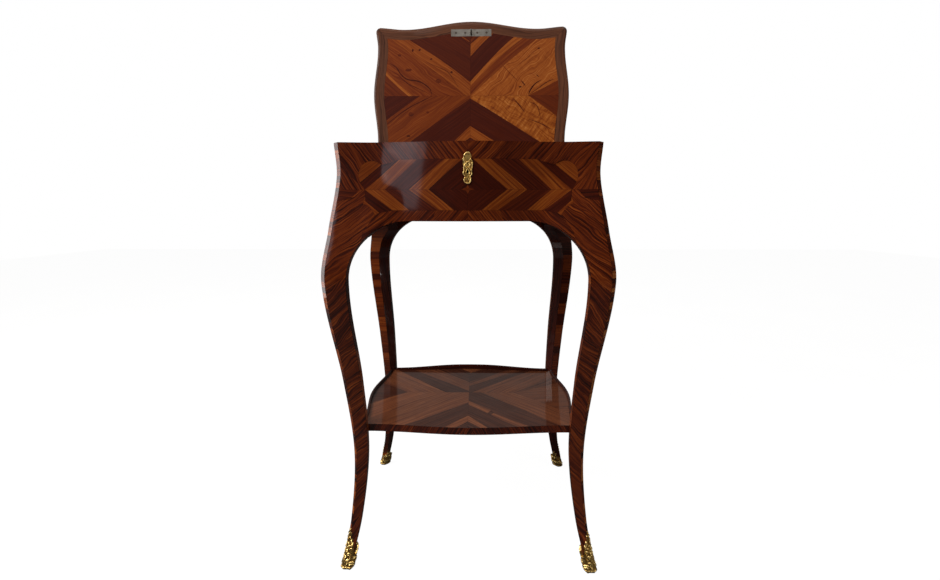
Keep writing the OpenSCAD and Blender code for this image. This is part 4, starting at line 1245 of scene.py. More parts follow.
def lid_surface(height):
    """Field of the lid; places are x and height above the hinge line when open, in a
    nominal rectangle that is drawn out to the field's curved edges."""
    def surface(x, h):
        """P of the closed lid at x and y = hinge line - h, turned open."""
        y = HINGE_Y - h
        px = x * lid_side(y, BORDER_W) / NOMINAL_X
        py = np.where(y < 0, y * lid_front(px, BORDER_W) / NOMINAL_Y, y)
        return opened(np.stack([px, py, np.full_like(px, LID_Z + height)], -1))
    return surface


def lid_pattern(sheet, flip=1):
    """Diagonal leaves in four quarters that meet at sx, sh, unevenly book-matched; flip is
    -1 for the lid's outer face."""
    w, top, low = NOMINAL_X, HINGE_Y + NOMINAL_Y, HINGE_Y - NOMINAL_Y
    sx, sh = -1.4, 143.0

    def leaf(a, b, grain, tone, **more):
        """One leaf, mirrored if flip is -1."""
        more.setdefault("stripe", 0.3)
        more.setdefault("hue", 0.7)
        sheet.leaf([(flip * x, h) for x, h in a], [(flip * x, h) for x, h in b], flip * grain,
                   tone, **more)

    # Upper left
    leaf([(-134.9, top)], [(sx, top), (sx, 169.2)], -35, 0.30, hue=0.3, stripe=0.12)
    leaf([(-134.9, top), (sx, 169.2)], [(-174.2, top), (-9.5, sh), (sx, sh)], -35, 0.62, figure=0.12)
    leaf([(-174.2, top), (-9.5, sh)], [(-w, top), (-w, 194.7), (-123.3, sh)], -36, 0.54,
         figure=0.30, hue=0.5)
    leaf([(-w, 194.7), (-123.3, sh)], [(-w, 187.8), (-131.7, sh)], -40, 0.72, hue=0.8)
    leaf([(-w, 187.8), (-131.7, sh)], [(-w, sh)], -40, 0.42, hue=0.35)
    # Lower left
    leaf([(-w, sh)], [(-107.5, sh), (-w, 91.6)], 34, 0.26, hue=0.2, stripe=0.15)
    leaf([(-107.5, sh), (-w, 91.6)], [(-81.9, sh), (-w, 82.5)], 32, 0.46, figure=0.2)
    leaf([(-81.9, sh), (-w, 82.5), (-w, low)], [(sx, sh), (sx, 137.2), (-162.4, low)], 35, 0.51, figure=0.2)
    leaf([(sx, 137.2), (-162.4, low)], [(sx, 78.7), (-60.7, low)], 35, 0.26, hue=0.2, stripe=0.15)
    leaf([(sx, 78.7), (-60.7, low)], [(sx, 53.8), (-45.4, low)], 40, 0.62)
    leaf([(sx, 53.8)], [(-45.4, low), (sx, low)], 36, 0.30, hue=0.3)
    # Lower right
    leaf([(119.5, sh), (w, 98.5), (w, low)], [(sx, sh), (sx, 137.2), (182, low)], -31, 0.70,
         figure=0.98, hue=1.0)
    leaf([(119.5, sh)], [(w, sh), (w, 98.5)], -34, 0.40, hue=0.4, stripe=0.2)
    leaf([(sx, 137.2), (182, low)], [(sx, 78.7), (84.9, low)], -31, 0.27, hue=0.25, stripe=0.15)
    leaf([(sx, 78.7), (84.9, low)], [(sx, 53.8), (49, low)], -31, 0.64, hue=0.8)
    leaf([(sx, 53.8)], [(49, low), (sx, low)], -34, 0.34, hue=0.3)
    # Upper right
    leaf([(sx, 242)], [(29, top), (sx, top)], 43, 0.40, hue=0.5)
    leaf([(sx, 242), (29, top)], [(sx, 218.8), (47, top)], 44, 0.68)
    leaf([(sx, 218.8), (47, top)], [(sx, 170.8), (92.5, top)], 44, 0.26, hue=0.25, stripe=0.15)
    leaf([(sx, 170.8), (92.5, top)], [(sx, 162.4), (112, top)], 43, 0.72, hue=0.8)
    leaf([(sx, 162.4), (112, top)], [(sx, sh), (141.2, top)], 42, 0.50, hue=0.55, stripe=0.35)
    leaf([(sx, sh), (141.2, top)], [(119.5, sh), (w, 175), (w, top)], 42, 0.73, figure=0.62, stripe=0.34)
    leaf([(119.5, sh)], [(w, 175), (w, sh)], 30, 0.46, hue=0.5, stripe=0.2)


inside = Sheet(lid_surface(0.1), (0, -1, 0.17), cell=8)
lid_pattern(inside)
inside.lay("lid_inner_leaves", LID_VENEER, "lid", ["lid_inner_veneer"])

# Dark lines of the burr: places on the field, width, tone
BURR_LINES = [
    ([(-181, 215), (-162.6, 205.5), (-150.2, 190.4), (-135.1, 179.4), (-113.1, 175.1), (-96.6, 166.8),
      (-85.6, 155.9), (-81.9, 143.4)], 2.6, 0.20),
    ([(-181, 203), (-154.4, 187.7), (-135.1, 171.2), (-107.6, 157.4), (-88.4, 147.7)], 1.5, 0.28),
    ([(-99.5, 216.0), (-69.3, 200.8), (-52.8, 192.5), (-41.8, 181.5), (-25.3, 156.9)], 1.3, 0.26),
    ([(-81.9, 142.6), (-96.6, 135.5), (-124.0, 121.9), (-148.8, 107.0), (-162.5, 97.5),
      (-176.3, 86.6)], 2.2, 0.24),
    ([(119.6, 143.6), (122.4, 152), (128, 161), (135.6, 169.5), (149.2, 177.5)], 2.6, 0.16),
    ([(122.1, 145.8), (138.4, 157.2), (160.0, 172.0), (179.0, 178.7)], 1.5, 0.24),
    ([(86.7, 138.5), (100.4, 123.5), (114.0, 107.1)], 2.0, 0.26),
    ([(122.3, 93.4), (152.2, 82.4), (179.5, 68.7)], 1.6, 0.28),
    ([(120.8, 130.2), (138.5, 120.6), (149.5, 93.3)], 1.5, 0.3),
    ([(105.6, 175.1), (109, 170.5), (113.8, 164.2)], 2.2, 0.2),
    ([(138.2, 188.5), (143.7, 183.0)], 2.0, 0.22),
    ([(-20, 257), (-12, 252), (-3.2, 246.5)], 2.2, 0.62),
    ([(60, 214), (82, 190), (101, 172)], 1.0, 0.34),
    ([(146, 246), (120, 222), (96, 204)], 1.0, 0.34),
]
# Its knots: place on the field, half width and half height, tone
BURR_KNOTS = [
    (-128.3, 242, 1.8, 3.4, 0.22), (-113.2, 242, 2.6, 1.8, 0.24), (-87.1, 220, 2.6, 1.6, 0.28),
    (-41.8, 189.7, 2.4, 2.0, 0.26), (-135.1, 199.8, 7.0, 3.2, 0.38), (-69.2, 173.5, 6.0, 4.6, 0.42),
    (-157.2, 231.4, 4.0, 2.4, 0.38), (-128.1, 104.2, 5.6, 4.4, 0.36), (-137.7, 57.7, 4.2, 1.7, 0.08),
    (-92.4, 108.1, 3.0, 2.4, 0.36), (147.5, 245.4, 2.6, 1.6, 0.2), (103.0, 161.5, 3.0, 1.6, 0.24),
]


def burr_marks():
    """Slivers and ovals a hair above the leaves: P = line plus or minus a half width w sin(pi t)^0.6,
    and P = middle plus or minus (rx cos t, rh sin t)."""
    sheet = Sheet(lid_surface(0.06), (0, -1, 0.17), thick=0.03, cell=3)
    kind = dict(hue=0.5, stripe=0.3, hidden=("a", "b", "start", "end"))
    for line, wide, tone in BURR_LINES:
        line = np.array(line)
        t = np.linspace(0, len(line) - 1, 8 * len(line))
        knots = np.arange(len(line))
        path = np.stack([curve(np.stack([knots, line[:, k]], -1), t) for k in (0, 1)], -1)
        run = np.gradient(path, axis=0)
        run /= np.linalg.norm(run, axis=1, keepdims=True)
        half = (wide / 2 * np.sin(np.pi * np.clip(t / t[-1], 0.004, 0.996)) ** 0.6)[:, None]
        off = np.stack([-run[:, 1], run[:, 0]], -1) * half
        sheet.leaf(path + off, path - off, 30, tone, **kind)
    t = np.linspace(0.05, np.pi - 0.05, 12)
    for x, h, rx, rh, tone in BURR_KNOTS:
        up = np.stack([x - rx * np.cos(t), h + rh * np.sin(t)], -1)
        low = np.stack([x - rx * np.cos(t), h - rh * np.sin(t)], -1)
        sheet.leaf(up, low, 20, tone, **kind)
    sheet.lay("lid_burr_marks", LID_VENEER, "lid")


burr_marks()
outside = Sheet(lid_surface(LID_TOP), (0, 1, -0.17), cell=8)
lid_pattern(outside, -1)
outside.lay("lid_outer_leaves", VENEER, "lid", ["lid_outer_veneer"])


def lid_profile():
    """Insets and heights round the border's section: flat, arris, edge, thumb moulding, back."""
    turn = np.radians(np.linspace(0, 90, 9))
    thumb = np.stack([4.8 * (1 - np.cos(turn)), LID_TOP - 6 + 6 * np.sin(turn)], -1)
    flat_in = np.stack([np.linspace(BORDER_W, 0.9, 5), np.full(5, 0.1)], -1)
    arris = [(0.2, 0.5), (0, 0.9), (0, 5)]
    return np.concatenate([flat_in, arris, thumb, [(12, LID_TOP), (BORDER_W, LID_TOP)]])


# Share of a side's run at which its corner begins, on the front and on the ends, and the
# tones of the four sides
FRONT_TURN = 0.93
END_TURN = 0.92
BORDER_TONES = {"front": 0.38, "back": 0.36, "left": 0.34, "right": 0.40}


def border_point(part, u, inset, height):
    """Place on the border: part is front, left, right or back; u runs from 0 to 1 along it. A
    corner is the arc of an ellipse about cx, y1 as far as its mitre, 45 degrees round."""
    r = np.maximum(1, CORNER_R - inset)
    y1 = HALF_D + LID_OVER - inset - r
    x1 = lid_side(y1, inset)
    cx = x1 - r
    ry = lid_front(cx, inset) - y1
    if part == "front":
        s = 2 * u - 1
        far = np.abs(s)
        turn = np.clip((far - FRONT_TURN) / (1 - FRONT_TURN), 0, 1) * math.pi / 4
        line_x = cx * np.clip(far / FRONT_TURN, 0, 1)
        x = np.where(far < FRONT_TURN, line_x, cx + r * np.sin(turn))
        y = np.where(far < FRONT_TURN, -lid_front(line_x, inset), -y1 - ry * np.cos(turn))
        x = x * np.sign(s + 1e-12)
    elif part == "back":
        x = (2 * u - 1) * lid_side(HALF_D - inset, inset)
        y = HALF_D - inset + 0 * u
    else:
        turn = np.clip((u - END_TURN) / (1 - END_TURN), 0, 1) * math.pi / 4
        line_y = (HALF_D - inset) - (HALF_D - inset + y1) * np.clip(u / END_TURN, 0, 1)
        x = np.where(u < END_TURN, lid_side(line_y, inset), cx + r * np.cos(turn))
        y = np.where(u < END_TURN, line_y, -y1 - ry * np.sin(turn))
        x = x * (-1 if part == "left" else 1)
    return opened(np.stack(np.broadcast_arrays(x, y, LID_Z + height), -1))


def lid_border(part):
    """The border's section carried along one side of the lid between its mitres. It counts as
    far from the inner seam on all but the flat inner face."""
    profile = lid_profile()
    u = np.linspace(0, 1, 97)
    rings = border_point(part, u[:, None], profile[None, :, 0], profile[None, :, 1])
    points, tris = carried(rings)
    rows = len(profile)
    run = np.r_[0, np.cumsum(np.linalg.norm(np.diff(rings[:, 0], axis=0), axis=1))]
    girth = np.r_[0, np.cumsum(np.hypot(*np.diff(profile, axis=0).T))]
    seam = np.where(profile[:, 1] < 1, BORDER_W - profile[:, 0], FAR)
    seed = chance.uniform(0, 9, 2)
    along = np.r_[np.repeat(run, rows), run[0], run[-1]] * MM + seed[0]
    round_it = np.r_[np.tile(girth, len(u)), girth.mean(), girth.mean()] * MM + seed[1]
    edge = np.r_[np.tile(seam, len(u)), FAR, FAR] * MM
    start = np.r_[np.repeat(run, rows), 0, 0] * MM
    end = np.r_[np.repeat(run[-1] - run, rows), 0, 0] * MM
    marks = {
        "fibre": np.stack([along, round_it, along * 0], -1),
        "tone": np.tile([BORDER_TONES[part], 0.45, 0.25, 0.3], (len(points), 1)),
        "seams": np.stack([edge, start, end, edge * 0 + 1], -1),
    }
    make_piece("lid_border_" + part, points, tris, BORDER_WOOD, "lid", ["lid_edge_" + part],
               marks)


for part in BORDER_TONES:
    lid_border(part)

# Gilt feet: points round a foot, rows up its carving and down its inside, and how high and
# in how many steps the leg under it is followed
FOOT_N = 192
FOOT_ROWS = 110
FOOT_INSIDE = 12
FOOT_TOP = 75
FOOT_LEVELS = 113


def near_line(x, y, line):
    """Distance from places to a line of points: the least of those to its straight parts."""
    line = np.asarray(line, float)
    best = np.full(np.shape(x), 1e9)
    for (ax, ay), (bx, by) in zip(line[:-1], line[1:]):
        dx, dy = bx - ax, by - ay
        t = np.clip(((x - ax) * dx + (y - ay) * dy) / (dx * dx + dy * dy), 0, 1)
        best = np.minimum(best, np.hypot(x - ax - t * dx, y - ay - t * dy))
    return best


def ridge(distance, half):
    """Rounded bead of height one over a line."""
    return np.sqrt(np.clip(1 - (distance / half) ** 2, 0, 1))


def smooth_ring(z, grow, n):
    """The leg's section with softened corners, n points from the inner corner round, and how
    far round each point lies from the outer corner, from -1 to 1. The arrises come at the
    shares in stops, and each point is averaged with its neighbours three times."""
    c = leg_corners(z, BACK, grow)
    middle = (c[..., 0:1, :] + c[..., 1:2, :]) / 2
    closed = np.concatenate([middle, c[..., 1:, :], c[..., 0:1, :], middle], -2)
    stops = np.array([0, 0.09, 0.2, 0.44, 0.56, 0.8, 0.91, 1.0])
    u = (np.arange(n) + 0.5) / n
    ring = np.stack([[np.interp(u, stops, row[:, k]) for k in range(3)] for row in closed], 0)
    ring = np.moveaxis(ring, 1, 2)
    for _ in range(3):
        ring = (np.roll(ring, 1, 1) + 2 * ring + np.roll(ring, -1, 1)) / 4
    return ring, 2 * u - 1


# Rake of the leaf's upper edge: how far round from the outer corner, and how high there
RAKE_ROUND = [0, 0.06, 0.12, 0.19, 0.28, 0.41, 0.48, 0.54, 0.6, 0.68, 0.8, 0.9, 1.0]
RAKE_Z = [70.5, 69, 65, 60.5, 52.5, 46, 42.5, 35, 27, 26, 33, 37.5, 38]


def foot_edge(turn):
    """Height of the leaf's upper edge: the rake, and on it lobes 1.6 times a sine without its
    sign, less a half."""
    far = np.abs(turn)
    lobes = np.abs(np.sin(np.pi * 4.5 * np.clip(far / 0.58, 0, 1))) - 0.5
    return np.interp(far, RAKE_ROUND, RAKE_Z) + 1.6 * lobes * (far > 0.05)


def curl(x, z, cx, cz, size, lean):
    """Curled tip of a leaf: a round rim that fades away on one side of a bead in a hollow."""
    d = np.hypot(x - cx, z - cz)
    turn = np.arctan2(z - cz, x - cx)
    rim = ridge(d - 0.66 * size, 0.36 * size) * ease(0.25 + 0.9 * np.cos((turn - lean) / 2) ** 2)
    return np.maximum(rim, 0.9 * ridge(d, 0.32 * size)), d < 1.02 * size


# Curls of the foot's leaf: distance round from the corner, height, size, lean, all mirrored
CURLS = [
    (2.4, 61, 2.2, 2.4), (5.4, 53.5, 3.2, 0.6), (8.6, 47.4, 3.2, 0.6), (3.4, 43.5, 2.9, 2.6),
    (11.4, 41.2, 3.2, 0.4), (6.4, 38.6, 3.4, 2.2), (15.2, 36.4, 3.3, 0.3), (10.6, 33.2, 4.0, 1.0),
    (4.0, 31.5, 3.6, 2.8), (15.8, 28.2, 3.8, 0.3), (8.4, 24.4, 4.5, 2.0), (21.5, 24.5, 3.6, 1.2),
    (15.0, 19.6, 4.6, 0.8), (21.4, 15.8, 4.3, 0.6), (27.0, 27.0, 4.4, 1.6), (27.4, 12.0, 5.0, 1.6),
    (3.4, 20.6, 3.6, 1.8), (9.4, 13.2, 5.4, 2.3), (17.6, 10.0, 4.2, 1.2),
]


def foot_relief(turn, z, top):
    """Carving of the foot, negative in the hollows: a beaded rib up the corner, a rolled edge,
    fluting, curled leaf tips one above the other, and a collar over the sole."""
    far = np.abs(turn) * 30
    up = np.clip(z / top, 0, 1)
    relief = 0.35 * np.cos(2 * np.pi * (far / 3.4 - 0.06 * z)) * ease((1 - up) * 8) - 0.1
    rib = 1.5 + 0.3 * np.cos(z * 2 * np.pi / 5.0)
    relief = np.maximum(relief, rib * ridge(far, 1.9) * ease(up * 5))
    relief = np.maximum(relief, 1.45 * ridge(top - z - 1.3, 1.5))
    for cx, cz, size, lean in CURLS:
        tip, inside = curl(far, z, cx, cz, size, lean)
        relief = np.where(inside, np.maximum(2.1 * tip - 0.35, -0.5), relief)
    collar = 0.5 + 0.5 * np.cos(turn * 48)
    return np.where(z < 5.5, np.maximum(relief, (0.9 + 0.6 * collar) * ridge(z - 3.4, 2.3)), relief)


def on_leg(rings, z):
    """Places on the leg's softened section at heights z, one column for each point round it:
    between two of its levels, in the share of the way from one to the next."""
    level = np.clip(z / FOOT_TOP * FOOT_LEVELS, 0, FOOT_LEVELS - 0.001)
    i = level.astype(int)
    share = (level - i)[..., None]
    j = np.broadcast_to(np.arange(FOOT_N), z.shape)
    return rings[i, j] * (1 - share) + rings[i + 1, j] * share


def outward_normals(base):
    """Level directions square to each ring of places, pointing away from the leg."""
    ahead = np.roll(base, -1, 1) - np.roll(base, 1, 1)
    normal = np.stack([ahead[..., 1], -ahead[..., 0], 0 * ahead[..., 0]], -1)
    normal /= np.maximum(np.linalg.norm(normal, axis=-1, keepdims=True), 1e-9)
    away = base[..., :2] - base[..., :2].mean(1, keepdims=True)
    return -normal if (normal[..., :2] * away).sum() < 0 else normal


def foot_shell():
    """Shell round the leg's end: a grid of places round the leg and up it, from under the sole
    out over the carving, over the edge and down inside. Gives points, triangles, relief."""
    rings, turn = smooth_ring(np.linspace(0, FOOT_TOP, FOOT_LEVELS + 1), 0.1, FOOT_N)
    top = foot_edge(turn)[None, :]
    z = np.linspace(0, 1, FOOT_ROWS)[:, None] * top
    base = on_leg(rings, z)
    normal = outward_normals(base)
    carving = foot_relief(turn[None, :], z, top)
    inner_side = ease((np.abs(turn) - 0.45) / 0.3)[None, :] * 3.8 * ease(1.4 - np.abs(z - 20) / 24)
    body = 0.7 + 1.6 * ease(1 - z / 30) - 1.6 * ease(1 - z / 5) + inner_side
    thick = (body + carving) * ease((top - z) / 1.4 + 0.25)
    outer = base + normal * thick[..., None]
    edge = base[-1] + normal[-1] * 0.3
    inner = on_leg(rings, np.linspace(1, 0, FOOT_INSIDE)[:, None] * (top - SOLE) + SOLE)
    centre = outer[0].mean(0)
    low = np.array([centre[0], centre[1], 0.0])
    high = np.array([centre[0], centre[1], SOLE])
    points, tris = carried(np.concatenate([
        (low + (outer[0] - low) * 0.35)[None], (low + (outer[0] - low) * 0.75)[None],
        outer, edge[None], inner, (high + (inner[-1] - high) * 0.5)[None],
    ]))
    shown = carving * (0.75 + 0.25 * ease(z / 12))
    plain = np.full(FOOT_N * (FOOT_INSIDE + 2) + 2, 0.2)
    relief = np.concatenate([np.zeros(2 * FOOT_N), shown.ravel(), plain])
    return points, tris, relief + 0.25


# Rolled toe: directions across the foot's diagonal, along it and up, its middle and half width
ACROSS = np.array([1.0, -1.0, 0.0]) / math.sqrt(2)
FORWARD = np.array([1.0, 1.0, 0.0]) / math.sqrt(2)
UPWARD = np.array([0.0, 0.0, 1.0])
TOE_MIDDLE = np.array([HALF_W + 13.4, HALF_D + 13.4, 7.1])
TOE_HALF = 7.4


def toe_roll():
    """A scroll carried across the diagonal, swelling at its ends, fluted round its girth and
    nicked beside its ends; its end rings and caps get a low relief that paints them dark as shade
    by the volutes. Gives points, triangles, relief."""
    width = np.linspace(-TOE_HALF, TOE_HALF, 27)
    angle = np.linspace(0, 2 * np.pi, 40, endpoint=False)
    at_end = np.abs(width) > 7.2
    swell = 6.1 - 1.5 * at_end - 0.72 * np.cos(np.pi * width / TOE_HALF) ** 2
    groove = 0.35 * np.cos(angle * 6)[None, :]
    radius = swell[:, None] + groove - 0.5 * ridge(np.abs(width)[:, None] - 3.4, 0.8)
    roll = (TOE_MIDDLE + ACROSS * width[:, None, None]
            + FORWARD * (radius * np.cos(angle))[..., None]
            + UPWARD * (radius * np.sin(angle))[..., None])
    roll[..., 2] = np.maximum(roll[..., 2], 0.05)
    points, tris = carried(roll)
    # Painted shade: the end rings and the end caps of the roll are coloured dark by a lowered relief
    dark = 1.6 * at_end[:, None]
    return points, tris, np.r_[(radius - 4.9 - dark).ravel(), -0.9, -0.9]


def volute(end):
    """Spiral cord on one end of the toe's roll: r = 5 exp(-0.13 t), its own radius 0.22 r^0.8.
    Gives points, triangles, relief."""
    t = np.linspace(0, 4.5 * np.pi, 90)
    spiral = 5.0 * np.exp(-0.13 * t)
    radial = FORWARD * np.cos(t)[:, None] + UPWARD * np.sin(t)[:, None]
    path = TOE_MIDDLE + ACROSS * end * 7.3 + radial * spiral[:, None]
    girth = np.linspace(0, 2 * np.pi, 8, endpoint=False)
    thick = 0.22 * spiral[:, None, None] ** 0.8
    tube = (path[:, None] + radial[:, None] * (np.cos(girth)[None, :, None] * thick)
            + ACROSS * (np.sin(girth)[None, :, None] * thick))
    points, tris = carried(tube)
    return points, tris, np.full(len(points), 1.2)


def feet():
    """The rear right foot's shell, toe and volutes, mirrored to the four quarters."""
    pieces = [foot_shell(), toe_roll(), volute(-1), volute(1)]
    points, tris = joined([(points, tris) for points, tris, _ in pieces])
    relief = np.concatenate([relief for _, _, relief in pieces])
    # The carving's height colours the gilt: its hollows are painted dark as shade
    marks = {"relief": np.stack([relief, relief, relief], -1)}
    for name, (sx, sy, _) in QUARTERS.items():
        turned = tris[:, ::-1] if sx * sy < 0 else tris
        make_piece("foot_mount_" + name, points * [sx, sy, 1], turned, GILT, "table",
                   ["sabot_" + name], marks, sharp=60)


feet()

# Keyhole escutcheon: height of its middle, its back's place, and points round its outline
ESC_Z = 682.0
ESC_Y = -151.0
PLATE_N = 560
# Outline of the waisted cartouche, right way round from its top: x and height from its middle
CARTOUCHE = [
    (0, 24), (2.7, 23.4), (4.5, 20.7), (5.3, 17), (4.8, 13.6), (6.2, 12), (7.5, 9.6), (7.9, 6), (7.1, 1.5),
    (6.7, -3.2), (6.9, -6.9), (6.2, -10.2), (4.2, -13.0), (5.3, -16.1), (5, -19.8), (3, -23.4), (0, -24),
    (-2.8, -23.4), (-4.9, -21.4), (-6.4, -18.7), (-6.1, -15.4), (-4.5, -12.9), (-6.0, -11), (-7.4, -7.3),
    (-6.4, -3.2), (-6.2, 2.3), (-6.8, 6), (-6.6, 9.4), (-7.7, 13), (-6.4, 15.4), (-5.9, 17.3),
    (-5.1, 20.4), (-3, 23),
]
# Carved cords: height, half width, places
CORDS = [
    (1.9, 1.25, [(-4.9, 18.9), (-3.7, 21.2), (-1.2, 22.7), (1.8, 22.9), (3.0, 21.6)]),
    (2.1, 1.15, [(-6.0, 12.0), (-4.9, 9.6), (-3.5, 7.2), (-3.9, 5.4)]),
    (1.7, 1.05, [(-3.0, 5.6), (-1.9, 8.0), (0.4, 9.1), (2.5, 8.0), (3.5, 5.4), (2.7, 2.9)]),
    (1.9, 0.95, [(-4.7, 4.0), (-5.3, 1.2), (-5.6, -2.0), (-5.8, -5.1), (-6.3, -7.6), (-5.4, -10.4),
                 (-3.8, -12.2)]),
    (1.9, 0.95, [(-3.3, 2.1), (-0.5, -1.2), (2.1, -4.4), (3.3, -7.0), (2.4, -9.2)]),
    (2.2, 1.2, [(1.5, 1.2), (3.6, -1.6), (6.0, -4.6)]),
    (1.4, 0.9, [(6.6, 7.5), (6.9, 3.5), (6.3, 0.0)]),
    (1.3, 0.9, [(6.2, -7.0), (5.8, -10.2), (4.1, -12.3)]),
    (1.9, 1.0, [(-5.6, -16.9), (-5.0, -20.2), (-3.0, -22.6), (0.0, -23.0)]),
    (1.4, 0.9, [(0.0, -23.0), (2.8, -22.4), (4.2, -20.2), (4.5, -16.6)]),
]
# Knobs: place, size, height
KNOBS = [
    (-6.5, 13.7, 1.7, 2.3), (-4.5, 4.3, 1.6, 2.5), (-0.6, 4.1, 1.2, 1.6), (1.7, 5.9, 0.9, 1.2),
    (-4.2, -14.4, 1.3, 2.2), (4.0, 13.2, 1.3, 1.2), (3.9, -14.2, 1.0, 1.0),
]
# Pits: place, size
PITS = [
    (-2.5, 20.1, 0.8), (2.4, 13.9, 0.8), (-3.8, -10.0, 0.7), (-2.5, -14.4, 0.8), (-3.9, -17.6, 0.9),
]


def key_mouth(ray):
    """Half width and half height of the pear-shaped mouth of the keyhole, by direction."""
    wide = 2.25 + 0.25 * np.sin(ray)
    above = np.cos(ray) > 0
    return np.where(above, wide * (1 - 0.62 * np.cos(ray)), wide), np.where(above, 4.0, 2.4)


def plate_rays():
    """Rays from inside the keyhole over its mouth to the cartouche's edge: v runs from 0 to 1
    down the keyhole's wall and on to 2 across the plate. Gives v, x, h, and the distances to
    the mouth and to the edge."""
    shape = np.array(CARTOUCHE + CARTOUCHE[:1], float)
    knots = np.arange(len(shape))
    t = np.linspace(0, len(CARTOUCHE), PLATE_N, endpoint=False)
    edge_x, edge_h = (curve(np.stack([knots, shape[:, k]], -1), t) for k in (0, 1))
    ray = np.arctan2(edge_x, edge_h + 6.0)
    wide, tall = key_mouth(ray)
    hole_x = np.sin(ray)
    hole_h = 3.4 * np.cos(ray) - 6.0
    mouth_x = wide * np.sin(ray) - 0.3
    mouth_h = tall * np.cos(ray) - 6.3
    v = np.r_[np.linspace(0, 1, 9), 1 + np.linspace(0, 1, 92)[1:]][:, None]
    x = np.where(v < 1, hole_x + (mouth_x - hole_x) * v, mouth_x + (edge_x - mouth_x) * (v - 1))
    h = np.where(v < 1, hole_h + (mouth_h - hole_h) * v, mouth_h + (edge_h - mouth_h) * (v - 1))
    length = np.hypot(edge_x - mouth_x, edge_h - mouth_h)
    return v, x, h, length * (v - 1), length * (2 - v)


def plate_relief(v, x, h, inner, outer):
    """Carving of the plate: a rippled ground dished to its rim, a round boss, a round hollow,
    cords, knobs and pits, a lip round the mouth and the keyhole's wall falling away in the relief,
    which paints the wall near black and the pits and hollows darker, as shade. Each place
    is averaged with its neighbours round the plate three times."""
    relief = 0.30 + 0.22 * np.cos(1.3 * x + 0.4) * np.cos(0.9 * h) - 0.35 * ridge(outer - 3.4, 2.4)
    relief = np.maximum(relief, 1.25 * ridge(outer - 0.75, 1.0) ** 2)
    boss = np.hypot(x - 0.7, h - 17.2)
    relief = np.where(boss < 4.3, 0.55 * ridge(boss, 5.2) + 0.1, relief)
    relief = np.where(np.hypot(x - 0.4, h - 5.8) < 3.4, -0.3, relief)
    for top, half, line in CORDS:
        relief = np.maximum(relief, top * ridge(near_line(x, h, line), 1.15 * half) ** 2)
    for cx, cz, size, top in KNOBS:
        relief = np.maximum(relief, top * ridge(np.hypot(x - cx, h - cz), 1.1 * size) ** 2)
    for cx, cz, size in PITS:
        relief = relief - 1.2 * ridge(np.hypot(x - cx, h - cz), size)
    relief = np.maximum(relief, 1.5 * ridge(inner - 0.5, 0.7) * (v > 1))
    for _ in range(3):
        relief = (np.roll(relief, 1, 1) + 2 * relief + np.roll(relief, -1, 1)) / 4
    # Painted shade: the keyhole's wall gets a relief of -1.6 to -0.4, which colours it near black; the
    # plate itself is cut no deeper than -0.45
    return np.where(v < 1, -1.6 + 1.2 * np.clip(v, 0, 1) ** 6, relief)


def escutcheon():
    """The carved plate, its edge and its back, closed through the keyhole."""
    v, x, h, inner, outer = plate_rays()
    relief = plate_relief(v, x, h, inner, outer)
    h = 0.957 * h + ESC_Z - 0.4
    front = np.stack([x, ESC_Y - 0.55 - 0.85 * np.maximum(relief, -0.45), h], -1)
    back = np.stack([x[::-1], np.full_like(x, ESC_Y + 0.2), h[::-1]], -1)
    layers = np.concatenate([front, back[:1], back[-1:]])
    rows = len(layers)
    points = layers.reshape(-1, 3)
    tris = facing(points, grid_tris(rows + 1, PLATE_N, wrap=True) % (rows * PLATE_N))
    # The relief colours the gilt, with the hollows and the keyhole painted dark as shade
    carve = np.concatenate([relief.ravel(), np.zeros(2 * PLATE_N)]) + 0.2
    marks = {"relief": np.stack([carve, carve, carve], -1)}
    make_piece("keyhole_mount", points, tris, SOFT_GILT, "table", ["keyhole_escutcheon"],
               marks, sharp=70)


escutcheon()


def star_inlay():
    """Four-pointed star let into the lozenge under the escutcheon."""
    def surface(p, z):
        """P at p along the front and height z, a hair before the veneer."""
        return np.stack([p, -face(FRONT, p, z) - PROUD - 0.06, z], -1)

    sheet = Sheet(surface, (0, -1, 0), cell=3)
    tips = [(10.5, SEAM_Z), (0, SEAM_Z + 7), (-10.5, SEAM_Z), (0, SEAM_Z - 7)]
    hollows = [(2.6, SEAM_Z + 2.2), (-2.6, SEAM_Z + 2.2), (-2.6, SEAM_Z - 2.2), (2.6, SEAM_Z - 2.2)]
    for k, tip in enumerate(tips):
        sheet.leaf([tip], [hollows[k - 1], (0, SEAM_Z), hollows[k]], 90 * k, 0.42 + 0.06 * (k % 2),
                   hue=0.6, stripe=0.2)
    sheet.lay("star_inlay", VENEER)


star_inlay()

# Finishes for the solids that stay, by the beginnings of their names
FINISHES = {
    "rail_front": GROUND["x"], "rail_rear": GROUND["x"],
    "rail_left": GROUND["y"], "rail_right": GROUND["y"],
    "case_floor": OAK, "floor_bearers": OAK, "shelf_board": OAK, "shelf_dowels": OAK, "lid_core": OAK,
    "escutcheon_pins": PIN_GILT, "sabot_pins": PIN_GILT,
    "hinge_leaf": BRASS, "hinge_lid_leaf": BRASS, "hinge_pin": STEEL,
    "hinge_screws": SCREW, "hinge_lid_screws": SCREW,
    "lock_top_plate": BRASS, "lock_case": BRASS, "lock_cover": BRASS, "lock_screws": SCREW,
    "lock_bolt": STEEL, "lock_spring": STEEL, "lock_key_post": STEEL,
    "strike_plate": STEEL, "strike_screws": SCREW,
}
for name, piece in nodes.items():
    keys = [key for key in FINISHES if name.startswith(key)]
    if keys:
        piece.data.materials.clear()
        piece.data.materials.append(FINISHES[max(keys, key=len)])

